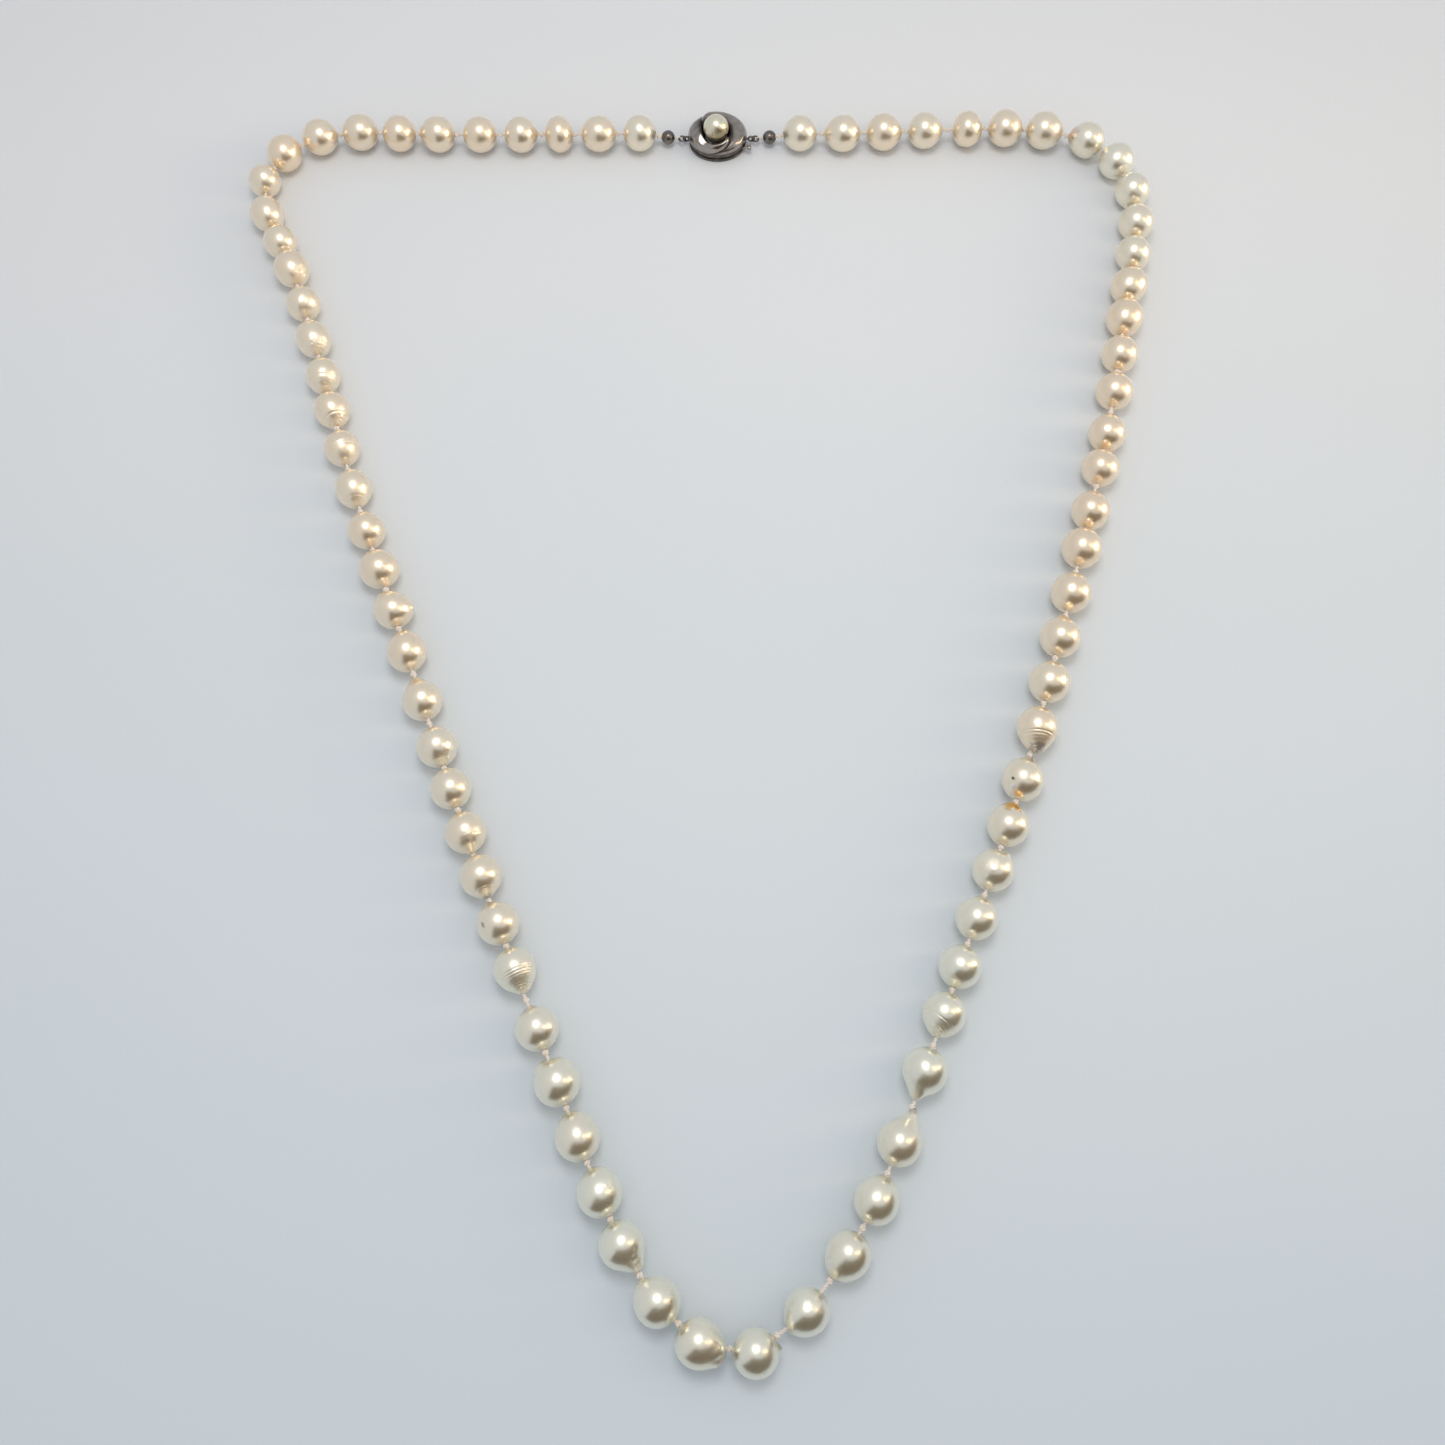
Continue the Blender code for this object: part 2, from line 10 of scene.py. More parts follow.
import bmesh
import bpy
import numpy as np
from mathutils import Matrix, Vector


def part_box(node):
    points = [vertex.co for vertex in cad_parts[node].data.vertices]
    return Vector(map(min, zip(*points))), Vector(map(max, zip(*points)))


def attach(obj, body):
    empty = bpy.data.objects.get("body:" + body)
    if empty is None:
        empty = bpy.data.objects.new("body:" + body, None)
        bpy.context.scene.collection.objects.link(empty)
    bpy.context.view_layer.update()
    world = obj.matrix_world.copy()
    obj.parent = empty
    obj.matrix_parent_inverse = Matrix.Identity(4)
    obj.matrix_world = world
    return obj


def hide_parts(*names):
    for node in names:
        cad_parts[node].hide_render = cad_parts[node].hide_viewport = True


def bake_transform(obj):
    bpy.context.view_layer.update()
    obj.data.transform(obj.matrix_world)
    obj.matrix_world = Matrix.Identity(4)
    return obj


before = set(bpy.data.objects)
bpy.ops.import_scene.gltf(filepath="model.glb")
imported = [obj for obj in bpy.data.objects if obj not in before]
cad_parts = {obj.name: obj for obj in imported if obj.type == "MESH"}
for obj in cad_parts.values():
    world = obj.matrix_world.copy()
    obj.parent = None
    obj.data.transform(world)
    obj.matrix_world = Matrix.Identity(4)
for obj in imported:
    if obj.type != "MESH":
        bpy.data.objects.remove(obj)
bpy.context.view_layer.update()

MM = 0.001
UP = np.array([0.0, 0.0, 1.0])

# A pearl's lowest vertex is this close to the table.
TOUCHING = 0.00003
# The points at a grid's poles are welded when closer than this.
POLE_WELD = 0.000002

# The pearls' mesh: rings of points about the drill axis.  The hole's edge is at this many degrees
# from the axis, and its floor at this share of the radius below the skin.
HOLE_ANGLE = 5.4
HOLE_DEPTH = 0.2
# Points round a ring, and rings between the holes' edges.
PLAIN_MESH = (48, 28)
FINE_MESH = (96, 72)

# How uneven a pearl is without its named features, as shares of its radius.
LUMPS = 0.006
RIPPLES = 0.0012
# Tails and rings are turned about lines that rise this many degrees above the table.
TAIL_RISE = 4
RING_RISE = 8

# Silk, in millimetres: two strands laid round each other, and the knot tied from them.
STRAND_RADIUS = 0.16
STRAND_OFFSET = 0.15
LAY_LENGTH = 1.15
SILK_IN_HOLE = 0.65
KNOT_SIZE = 1.0


# ---------------- node trees

def new_material(name):
    material = bpy.data.materials.new(name)
    material.use_nodes = True
    return material.node_tree, material.node_tree.nodes["Principled BSDF"]


def add(tree, kind, settings=None, inputs=None):
    """A shader node; an input is a number or colour, or a socket to link."""
    made = tree.nodes.new("ShaderNode" + kind)
    for key, value in (settings or {}).items():
        setattr(made, key, value)
    wire(tree, made, inputs or {})
    return made


def wire(tree, made, inputs):
    for key, value in inputs.items():
        if isinstance(value, bpy.types.NodeSocket):
            tree.links.new(value, made.inputs[key])
        else:
            made.inputs[key].default_value = value


def noise(tree, coordinates, scale, detail=3.0, roughness=0.5):
    made = add(tree, "TexNoise", None, {
        "Vector": coordinates, "Scale": scale, "Detail": detail, "Roughness": roughness})
    return made.outputs["Fac"]


def maths(tree, operation, *values):
    return add(tree, "Math", {"operation": operation}, dict(enumerate(values))).outputs[0]


def ranged(tree, value, low, high):
    """A 0 to 1 value brought to the range from low to high."""
    return add(tree, "MapRange", None, {"Value": value, "To Min": low, "To Max": high}).outputs[0]


def ramp(tree, value, *stops):
    made = add(tree, "ValToRGB", None, {"Fac": value})
    elements = made.color_ramp.elements
    while len(elements) < len(stops):
        elements.new(0.5)
    for element, (place, colour) in zip(elements, stops):
        element.position = place
        element.color = (*colour, 1.0)
    return made.outputs["Color"]


def blended(tree, factor, first, second):
    made = add(tree, "Mix", {"data_type": "RGBA"}, {0: factor, 6: first, 7: second})
    return made.outputs[2]


def attribute(tree, name):
    return add(tree, "Attribute", {"attribute_name": name}).outputs


def place_in_object(tree):
    return add(tree, "TexCoord").outputs["Object"]


def bump(tree, height, strength, distance, below=None):
    inputs = {"Height": height, "Strength": strength, "Distance": distance}
    if below:
        inputs["Normal"] = below
    return add(tree, "Bump", None, inputs).outputs["Normal"]


# ---------------- materials

def nacre(name, cool, ivory, rose, depth):
    """Layered nacre: a soft body under a tinted, half mirror-like lustre and a clear skin."""
    tree, shader = new_material(name)
    here = place_in_object(tree)
    clouds = noise(tree, here, 260.0)
    # The tint attribute: the pearl's own overtone, with painted warm light on the upper pearls.
    pearly = maths(tree, "ADD", attribute(tree, "tint")["Fac"], ranged(tree, clouds, -0.20, 0.20))
    body = ramp(tree, pearly, (0.0, cool), (0.5, ivory), (1.0, rose))
    # Stain colours over the body, and on the set pearl painted reflections.
    stain = attribute(tree, "blemish")
    speckle = ranged(tree, noise(tree, here, 2600.0, 4.0), 0.55, 1.25)
    cover = maths(tree, "MINIMUM", maths(tree, "MULTIPLY", stain["Alpha"], speckle), 1.0)
    body = blended(tree, cover, body, stain["Color"])
    chalk = attribute(tree, "chalk")["Fac"]
    grain = noise(tree, here, 1500.0, 5.0)
    gloss = maths(tree, "ADD", ranged(tree, clouds, 0.27, 0.38), maths(tree, "MULTIPLY", chalk, 0.3))
    pitted = maths(tree, "MULTIPLY", grain, maths(tree, "ADD", chalk, 0.05))
    skin = bump(tree, clouds, 0.10, 0.0006)
    skin = bump(tree, pitted, 0.6, 0.0002, skin)
    wire(tree, shader, {
        "Base Color": body, "Roughness": gloss, "Normal": skin, "Metallic": 0.88,
        "Subsurface Weight": 0.25, "Subsurface Radius": (1.0, 0.62, 0.42), "Subsurface Scale": depth,
        "Coat Weight": 0.9, "Coat Roughness": 0.08, "Coat IOR": 1.55,
        "Sheen Weight": 0.10, "Sheen Roughness": 0.35, "Sheen Tint": (1.0, 0.90, 0.88, 1.0)})
    return bpy.data.materials[name]


def silk_material():
    tree, shader = new_material("silk")
    here = place_in_object(tree)
    fibres = noise(tree, here, 5200.0, 5.0, 0.7)
    shade = noise(tree, here, 420.0, 2.0)
    colour = ramp(tree, maths(tree, "ADD", ranged(tree, fibres, -0.3, 0.3), shade),
                  (0.15, (0.68, 0.64, 0.55)), (0.5, (0.86, 0.84, 0.76)), (0.85, (0.93, 0.92, 0.88)))
    colour = blended(tree, attribute(tree, "worn")["Fac"], colour, (0.20, 0.17, 0.14, 1.0))
    wire(tree, shader, {
        "Base Color": colour, "Roughness": ranged(tree, fibres, 0.42, 0.62),
        "Normal": bump(tree, fibres, 0.5, 0.0001), "Sheen Weight": 0.5, "Sheen Roughness": 0.4,
        "Sheen Tint": (1.0, 0.95, 0.88, 1.0), "Subsurface Weight": 0.3,
        "Subsurface Radius": (1.0, 0.92, 0.80), "Subsurface Scale": 0.0004})
    return bpy.data.materials["silk"]


def silver_material(name, bright, dull, gloss):
    """Silver with a brown-grey tarnish that rubs off the ridges, darkened further by a per-point value: real
    tarnish on the rings and end beads, painted shade in the cover's grooves, round the pearl's seat, on the
    wall and on the back plate.
    """
    tree, shader = new_material(name)
    here = place_in_object(tree)
    clouds = noise(tree, here, 700.0, 4.0, 0.6)
    hollow = attribute(tree, "hollow")["Fac"]
    tarnish = maths(tree, "ADD", ranged(tree, clouds, -0.25, 0.75), hollow)
    colour = ramp(tree, tarnish, (0.0, bright), (0.45, dull), (1.0, tuple(0.22 * c for c in dull)))
    scuffs = noise(tree, here, 4200.0, 3.0, 0.7)
    polish = ranged(tree, clouds, gloss, gloss + 0.14)
    polish = maths(tree, "ADD", polish, maths(tree, "MULTIPLY", hollow, 0.2))
    skin = bump(tree, clouds, 0.12, 0.0002)
    wire(tree, shader, {
        "Base Color": colour, "Metallic": 1.0, "Roughness": polish,
        "Normal": bump(tree, scuffs, 0.10, 0.00005, skin)})
    return bpy.data.materials[name]


def floor_material():
    """Pale and matt, with painted light: lighter and a little warmer away from the viewer, darker and cooler
    towards the viewer.
    """
    tree, shader = new_material("pale_floor")
    here = place_in_object(tree)
    along = add(tree, "SeparateXYZ", None, {0: here}).outputs["Y"]
    # Painted light: the colour runs with Y, darker and cooler near the viewer and lighter far off.
    far = maths(tree, "MULTIPLY_ADD", along, 4.0, ranged(tree, noise(tree, here, 7.0, 2.0), 0.3, 0.7))
    colour = ramp(tree, far, (0.0, (0.65, 0.71, 0.75)), (0.5, (0.68, 0.72, 0.745)),
                  (1.0, (0.745, 0.755, 0.765)))
    wire(tree, shader, {
        "Base Color": colour, "Roughness": 0.6, "Specular IOR Level": 0.2,
        "Normal": bump(tree, noise(tree, here, 900.0), 0.03, 0.0002)})
    return bpy.data.materials["pale_floor"]


# ---------------- meshes

def mesh_piece(name, points, faces, material):
    mesh = bpy.data.meshes.new(name)
    mesh.from_pydata(np.asarray(points, float).tolist(), [], faces)
    mesh.shade_smooth()
    return piece(name, mesh, material)


def piece(name, mesh, material):
    mesh.materials.clear()
    mesh.materials.append(material)
    return placed(name, mesh)


def placed(name, data):
    obj = bpy.data.objects.new(name, data)
    bpy.context.scene.collection.objects.link(obj)
    return obj


def add_values(obj, name, values, kind="FLOAT"):
    made = obj.data.attributes.new(name, kind, "POINT")
    values = np.asarray(values, np.float32)
    made.data.foreach_set("color" if kind == "FLOAT_COLOR" else "value", values.ravel())


def fill_values(obj, name, value):
    add_values(obj, name, np.full(len(obj.data.vertices), value))


def settled(obj):
    """The object's modifiers or curve made into its own mesh; returns the mesh object."""
    bpy.context.view_layer.update()
    graph = bpy.context.evaluated_depsgraph_get()
    mesh = bpy.data.meshes.new_from_object(obj.evaluated_get(graph))
    mesh.transform(obj.matrix_world)
    material = obj.data.materials[0]
    name = obj.name
    bpy.data.objects.remove(obj)
    mesh.shade_smooth()
    return piece(name, mesh, material)


def weld(obj, within):
    """Points closer than this made one, and every face turned outwards."""
    mesh = bmesh.new()
    mesh.from_mesh(obj.data)
    bmesh.ops.remove_doubles(mesh, verts=mesh.verts, dist=within)
    bmesh.ops.recalc_face_normals(mesh, faces=mesh.faces)
    mesh.to_mesh(obj.data)
    mesh.free()
    obj.data.shade_smooth()


def grid_faces(rows, columns):
    """Quads of a grid of points whose columns run round and close."""
    faces = []
    for row in range(rows - 1):
        for column in range(columns):
            a = row * columns + column
            b = row * columns + (column + 1) % columns
            faces.append((a, b, b + columns, a + columns))
    return faces


def closing_faces(rows, columns):
    """Quads from the grid's last row back to its first."""
    last = (rows - 1) * columns
    return [(last + i, last + (i + 1) % columns, (i + 1) % columns, i) for i in range(columns)]


def frame_about(axis):
    """Sideways and upward unit vectors square to an axis."""
    axis = np.asarray(axis, float) / np.linalg.norm(axis)
    side = np.cross(UP, axis) if abs(axis[2]) < 0.9 else np.array([1.0, 0.0, 0.0])
    side -= axis * (side @ axis)
    side /= np.linalg.norm(side)
    return axis, side, np.cross(axis, side)


def circle(turns, side, up):
    """Unit vectors at these angles in the plane of two others."""
    return np.cos(turns)[:, None] * side + np.sin(turns)[:, None] * up


def tubes(name, paths, radii_mm, material, closed, roundness):
    """Round wires along paths of world points in millimetres, as one mesh object."""
    curve = bpy.data.curves.new(name, "CURVE")
    curve.dimensions = "3D"
    curve.bevel_depth = MM
    curve.bevel_resolution = roundness
    curve.use_fill_caps = True
    for path, radius, is_closed in zip(paths, radii_mm, closed):
        spline = curve.splines.new("POLY")
        spline.points.add(len(path) - 1)
        points = np.column_stack([np.asarray(path) * MM, np.ones(len(path))])
        spline.points.foreach_set("co", points.ravel())
        spline.points.foreach_set("radius", np.full(len(path), radius))
        spline.use_cyclic_u = is_closed
    curve.materials.append(material)
    return settled(placed(name, curve))


def turned(name, profile_mm, place_mm, axis, material, sides=48, closed=False):
    """A solid turned about an axis through a place, from (radius, height) points."""
    axis, side, up = frame_about(axis)
    turns = np.linspace(0, 2 * math.pi, sides, endpoint=False)
    around = circle(turns, side, up)
    rows = [place_mm + radius * around + height * axis for radius, height in profile_mm]
    points = np.concatenate(rows) * MM
    faces = grid_faces(len(rows), sides)
    if closed:
        faces += closing_faces(len(rows), sides)
    obj = mesh_piece(name, points, faces, material)
    weld(obj, 0.0000001)
    return obj


def arc(middle, radius, start, end, steps):
    """Points (along, across) round an arc, angles in degrees."""
    angles = np.radians(np.linspace(start, end, steps))
    return [(middle[0] + radius * math.cos(a), middle[1] + radius * math.sin(a)) for a in angles]


def finished(obj, body, slot, *nodes):
    """A piece that rides on a body and hides the parts of the nodes it stands for; the slot is not used."""
    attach(obj, body)
    if nodes:
        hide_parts(*nodes)
    return obj


# ---------------- pearls

# How each uneven pearl departs from round.  Directions are degrees round the table from +X, then above it.
#   tail   (direction, length mm, spread)            drawn out towards a point
#   nub    (direction, elevation, height mm, spread)  a small bump, or a pit where the height is negative
#   rings  (direction, from, to, count, depth mm)     grooves turned about a direction
#   long   (direction, factor)                        longer or shorter across the table
#   scuff  (direction, elevation, spread)             chalky, wrinkled nacre
#   stain  (direction, elevation, spread, colour)   a stain; on the set pearl, a painted reflection
GOLD = (0.78, 0.40, 0.02)
BROWN = (0.30, 0.20, 0.12)
BLACK = (0.03, 0.02, 0.015)
CHALK = (0.93, 0.90, 0.88)
GREY = (0.50, 0.47, 0.44)

SHAPES = {
    # The set pearl's two patches are painted reflections: brown-olive over its lower front for the dark
    # silver round it, and gold on its right for the warm window.
    "set": [("stain", -70, -10, 48, (0.34, 0.27, 0.13)), ("stain", -20, 30, 13, (0.80, 0.62, 0.30))],
    "left_01": [("nub", 0, 10, 0.18, 14)],
    "left_02": [("long", 0, 1.05)],
    "left_03": [("long", 10, 0.87), ("tail", 95, 0.25, 40)],
    "left_04": [("nub", 0, 5, 0.35, 13), ("stain", 0, 5, 12, (0.90, 0.66, 0.50))],
    "left_05": [("long", 0, 1.03)],
    "left_06": [("tail", 170, 0.55, 36), ("nub", 60, 55, -0.06, 16)],
    "left_08": [("long", 0, 1.05)],
    "left_09": [("tail", 5, 0.35, 28), ("tail", 185, 0.2, 25)],
    "left_10": [("tail", 60, 0.45, 45), ("rings", 55, 35, 60, 1, 0.08)],
    "left_12": [("long", 125, 1.1)],
    "left_13": [("long", 150, 1.08)],
    "left_14": [("long", 120, 1.1), ("tail", -50, 0.25, 30), ("scuff", -40, 30, 22)],
    "left_15": [("rings", -15, 45, 75, 1, 0.14)],
    "left_16": [("long", 125, 1.12), ("scuff", -60, 35, 26)],
    "left_17": [("tail", -80, 0.45, 35), ("rings", -80, 18, 62, 3, 0.07)],
    "left_18": [("tail", -65, 0.5, 34), ("rings", -65, 14, 46, 3, 0.07), ("scuff", -62, 15, 20)],
    "left_19": [("tail", -70, 0.4, 30), ("rings", -62, 58, 78, 1, 0.16)],
    "left_20": [("tail", -75, 0.65, 34), ("rings", -75, 15, 40, 2, 0.05)],
    "left_21": [("tail", -75, 0.2, 20)],
    "left_22": [("nub", -62, 5, 0.35, 12), ("long", 0, 1.04)],
    "left_23": [("tail", 5, 0.5, 34), ("tail", 140, 0.45, 32), ("nub", 136, 22, 0.16, 6),
                ("nub", 120, 12, 0.16, 6), ("nub", 4, 12, 0.22, 6), ("scuff", 180, 58, 16)],
    "left_24": [("tail", 100, 0.45, 42)],
    "left_25": [("tail", 112, 1.0, 20)],
    "left_26": [("nub", -66, 14, 0.30, 9), ("nub", -48, 22, 0.22, 8), ("scuff", -58, 25, 18)],
    "left_27": [("nub", -160, 62, -0.14, 8), ("nub", -150, 58, 0.08, 5)],
    "left_28": [("nub", -68, 8, 0.5, 15), ("rings", -60, 40, 58, 2, 0.03), ("scuff", -40, 60, 14)],
    "left_29": [("tail", -68, 0.55, 20), ("rings", -68, 10, 38, 4, 0.07), ("stain", -68, 12, 12, GREY)],
    "left_30": [("nub", 118, 5, 0.35, 13), ("nub", -170, 55, -0.10, 6), ("stain", -160, 55, 5, BROWN)],
    "left_31": [("tail", -62, 0.9, 28), ("rings", -64, 12, 76, 8, 0.085), ("scuff", -62, 14, 18)],
    "left_32": [("nub", 108, 5, 0.28, 12)],
    "left_33": [("nub", 138, 10, 0.5, 17), ("nub", 66, 10, 0.32, 26)],
    "left_34": [("tail", 108, 0.7, 40)],
    "left_35": [("tail", 100, 0.6, 42), ("scuff", 40, 48, 15)],
    "left_36": [("tail", -50, 1.2, 23), ("nub", -12, 48, -0.10, 6), ("nub", -34, 42, -0.08, 5),
                ("nub", -42, 26, -0.10, 6), ("scuff", -45, 12, 16)],
    "left_37": [("tail", 136, 0.7, 34), ("scuff", 136, 15, 15)],
    "left_38": [("tail", -24, 1.0, 34), ("nub", -42, 14, 0.34, 13), ("nub", -10, 24, 0.28, 13),
                ("nub", -28, 38, 0.16, 9), ("stain", -32, 10, 16, (0.62, 0.50, 0.40))],
    "front": [("nub", 12, 12, 0.62, 8), ("stain", 12, 12, 8, GREY)],
    "right_35": [("tail", -135, 0.5, 32), ("rings", 60, 62, 70, 1, 0.05)],
    "right_34": [("tail", -128, 0.65, 34), ("scuff", -160, 28, 15), ("stain", -160, 28, 12, CHALK),
                 ("stain", -112, 4, 11, BROWN)],
    "right_33": [("tail", 62, 0.65, 36), ("nub", -165, 34, -0.06, 12)],
    "right_32": [("tail", 62, 1.9, 12), ("nub", 62, 4, 0.5, 30), ("stain", 62, 4, 8, GREY)],
    "right_31": [("tail", -118, 1.25, 18), ("nub", -108, 12, 0.3, 10), ("scuff", -120, 14, 14)],
    "right_30": [("rings", -128, 18, 66, 5, 0.075), ("tail", -118, 0.45, 26), ("scuff", -124, 22, 22)],
    "right_29": [("rings", -125, 30, 44, 1, 0.06), ("nub", -120, 16, 0.15, 9)],
    "right_28": [("tail", 60, 0.3, 26), ("nub", -150, 40, -0.05, 14)],
    "right_27": [("scuff", 150, 66, 22), ("scuff", 12, 42, 16), ("nub", 42, 18, 0.4, 11)],
    "right_26": [("tail", 76, 0.5, 24), ("stain", 78, 32, 23, GOLD)],
    "right_25": [("nub", 66, 10, 0.55, 13), ("stain", -166, 50, 4.5, BLACK),
                 ("stain", -146, 34, 8, CHALK), ("scuff", -146, 34, 8), ("long", 90, 1.03)],
    "right_24": [("tail", -98, 1.25, 27), ("rings", -98, 10, 62, 6, 0.09), ("stain", -98, 16, 18, GREY)],
    "right_23": [("tail", 50, 0.25, 40)],
    "right_22": [("nub", 82, 10, 0.5, 14), ("nub", 8, 48, 0.12, 6)],
    "right_19": [("tail", -100, 0.2, 24)],
    "right_18": [("tail", 12, 0.3, 28)],
    "right_14": [("long", 60, 1.1)],
    "right_13": [("long", 55, 1.1)],
    "right_09": [("long", 30, 1.06)],
    "right_08": [("tail", 168, 0.55, 30), ("stain", 168, 20, 20, (0.80, 0.62, 0.52))],
    "right_07": [("tail", -3, 0.45, 22)],
    "right_06": [("tail", 85, 0.55, 22), ("rings", 5, 38, 52, 1, 0.10)],
    "right_05": [("long", 0, 0.9)],
    "right_04": [("tail", 0, 0.4, 25), ("rings", 0, 40, 58, 1, 0.06)],
    "right_03": [("tail", 95, 0.3, 25), ("tail", 0, 0.3, 25)],
    "right_02": [("tail", 180, 0.5, 28), ("nub", -150, 35, 0.12, 6)],
    "right_01": [("tail", 178, 0.25, 20)],
}

# (pearl, overtone) along the strand, counted from the left of the clasp: 0 cool ivory, 1 rose. Partly the
# pearls' own overtones and partly painted warm light: rose where warm light falls on the upper pearls, most
# on right_14 to right_20, and cool ivory at the bottom.
OVERTONES_AND_PAINTED_WARMTH = [
    (0, 0.50), (2, 0.78), (9, 0.85), (12, 0.72), (20, 0.72), (24, 0.66), (29, 0.50),
    (32, 0.14), (38, 0.07), (44, 0.05), (48, 0.35), (51, 0.65), (54, 0.92), (60, 0.97),
    (62, 0.36), (65, 0.22), (67, 0.50), (70, 0.72), (73, 0.50),
]
# (pearl, breadth) by the same count: how broad the pearls are along X, where a ball is 1.
BREADTHS = [(0, 0.95), (10, 0.95), (14, 0.97), (60, 0.97), (70, 0.96), (73, 0.97)]


def heading(direction, elevation=0.0):
    turn, rise = math.radians(direction), math.radians(elevation)
    return np.array([math.cos(turn) * math.cos(rise), math.sin(turn) * math.cos(rise), math.sin(rise)])


def degrees_from(directions, target):
    return np.degrees(np.arccos(np.clip(directions @ target, -1.0, 1.0)))


def smooth(t):
    t = np.clip(t, 0.0, 1.0)
    return t * t * (3 - 2 * t)


def crumple(directions, seed, waves, pitch):
    """A fixed uneven pattern over the sphere, about -1 to 1."""
    rng = np.random.default_rng(seed)
    total = np.zeros(len(directions))
    for _ in range(waves):
        wave = rng.normal(size=3)
        wave *= pitch * rng.uniform(0.6, 1.4) / np.linalg.norm(wave)
        total += np.sin(directions @ wave + rng.uniform(0, 2 * math.pi))
    return total / math.sqrt(waves)


class Pearl:
    """One pearl: its place, the directions of the silk before and after it, and its uneven skin."""

    def __init__(self, name, centre, radius, body, position):
        self.name = name
        self.centre = centre
        self.radius = radius
        self.body = body
        self.seed = position
        self.features = SHAPES.get(name, [])
        self.before = self.after = None
        rng = np.random.default_rng(1000 + position)
        self.overtone_and_painted_warmth = float(np.clip(along_strand(OVERTONES_AND_PAINTED_WARMTH, position) + rng.normal(0, 0.09), 0.0, 1.0))
        self.breadth = along_strand(BREADTHS, position)
        self.long_way = heading(rng.uniform(0, 180), rng.uniform(-20, 20))
        self.long_by = 1 + rng.normal(0, 0.012)

    def bulge_mm(self, directions):
        """How far the skin stands out from round."""
        radius_mm = self.radius / MM
        bulge = LUMPS * radius_mm * crumple(directions, self.seed, 8, 1.9)
        bulge += RIPPLES * radius_mm * crumple(directions, self.seed + 500, 8, 7.0)
        for kind, direction, *sizes in self.features:
            if kind == "tail":
                length, spread = sizes
                away = degrees_from(directions, heading(direction, TAIL_RISE))
                bulge += length * np.exp(-(away / spread) ** 1.7)
            elif kind == "nub":
                elevation, height, spread = sizes
                away = degrees_from(directions, heading(direction, elevation))
                bulge += height * np.exp(-(away / spread) ** 2.4)
            elif kind == "rings":
                start, end, count, depth = sizes
                away = degrees_from(directions, heading(direction, RING_RISE))
                step = np.clip((away - start) / (end - start), 0.0, 1.0)
                bulge -= depth * np.sin(math.pi * count * step) ** 2 * (0.6 + 0.4 * np.sin(9 * step))
            elif kind == "scuff":
                elevation, spread = sizes
                mask = np.exp(-(degrees_from(directions, heading(direction, elevation)) / spread) ** 2)
                bulge += 0.05 * mask * crumple(directions, self.seed + 900, 16, 34.0)
        return bulge

    def skin(self, directions, depth=1.0):
        """World points of the skin in these directions; depth under 1 is inside it."""
        reach = (self.radius * depth + self.bulge_mm(directions) * MM)[:, None] * directions
        stretches = [(self.long_way, self.long_by), (heading(0), self.breadth)]
        stretches += [(heading(d), f[0]) for kind, d, *f in self.features if kind == "long"]
        for way, factor in stretches:
            reach += (reach @ way)[:, None] * way * (factor - 1)
        points = self.centre + reach
        points[:, 2] = np.maximum(points[:, 2], 0.0)
        return points

    def blemishes_and_painted_reflections(self, directions):
        """(colour and cover of stains and painted reflections, chalkiness) over the skin."""
        stain = np.zeros((len(directions), 4))
        chalk = np.zeros(len(directions))
        for kind, direction, *sizes in self.features:
            if kind == "stain":
                elevation, spread, colour = sizes
                away = degrees_from(directions, heading(direction, elevation))
                ragged = 1 + 0.18 * crumple(directions, self.seed + 700, 10, 16.0)
                mask = smooth((1.25 * ragged - away / spread) / 0.4)
                stronger = mask > stain[:, 3]
                stain[stronger, :3] = colour
                stain[:, 3] = np.maximum(stain[:, 3], mask)
            elif kind == "scuff":
                away = degrees_from(directions, heading(direction, sizes[0]))
                chalk = np.maximum(chalk, np.exp(-(away / sizes[1]) ** 2))
            elif kind == "rings":
                away = degrees_from(directions, heading(direction, RING_RISE))
                chalk = np.maximum(chalk, 0.25 * (away < sizes[1]))
        return stain, chalk

    def build(self, material, half_drilled=False):
        detailed = any(kind in ("rings", "scuff") or sizes[-1] == BLACK for kind, _, *sizes in self.features)
        columns, rows = FINE_MESH if detailed else PLAIN_MESH
        polar = np.concatenate([
            [0.0, HOLE_ANGLE, HOLE_ANGLE, 1.5 * HOLE_ANGLE],
            np.linspace(2.4 * HOLE_ANGLE, 180 - 2.4 * HOLE_ANGLE, rows),
            [180 - 1.5 * HOLE_ANGLE, 180 - HOLE_ANGLE, 180 - HOLE_ANGLE, 180.0]])
        inside = 1 - HOLE_DEPTH
        far = [1.0, 1.0, 1.0, 1.0] if half_drilled else [1.0, 0.99, inside, inside]
        depth = np.concatenate([[inside, inside, 0.99, 1.0], np.ones(rows), far])
        axis, side, up = frame_about(self.after + self.before)
        turns = np.linspace(0, 2 * math.pi, columns, endpoint=False)
        around = circle(turns, side, up)
        grid = [math.cos(a) * axis + math.sin(a) * around for a in np.radians(polar)]
        for row, angle in zip(grid, polar):
            towards, share = (self.after, 1 - angle / 90) if angle < 90 else (-self.before, angle / 90 - 1)
            row += smooth(share) * (towards - axis)
            row /= np.linalg.norm(row, axis=1)[:, None]
        directions = np.concatenate(grid)
        points = self.skin(directions, np.repeat(depth, columns))
        obj = mesh_piece("pearl_" + self.name, points, grid_faces(len(grid), columns), material)
        stain, chalk = self.blemishes_and_painted_reflections(directions)
        add_values(obj, "blemish", stain, "FLOAT_COLOR")
        add_values(obj, "chalk", chalk)
        fill_values(obj, "tint", self.overtone_and_painted_warmth)
        weld(obj, POLE_WELD)
        return obj


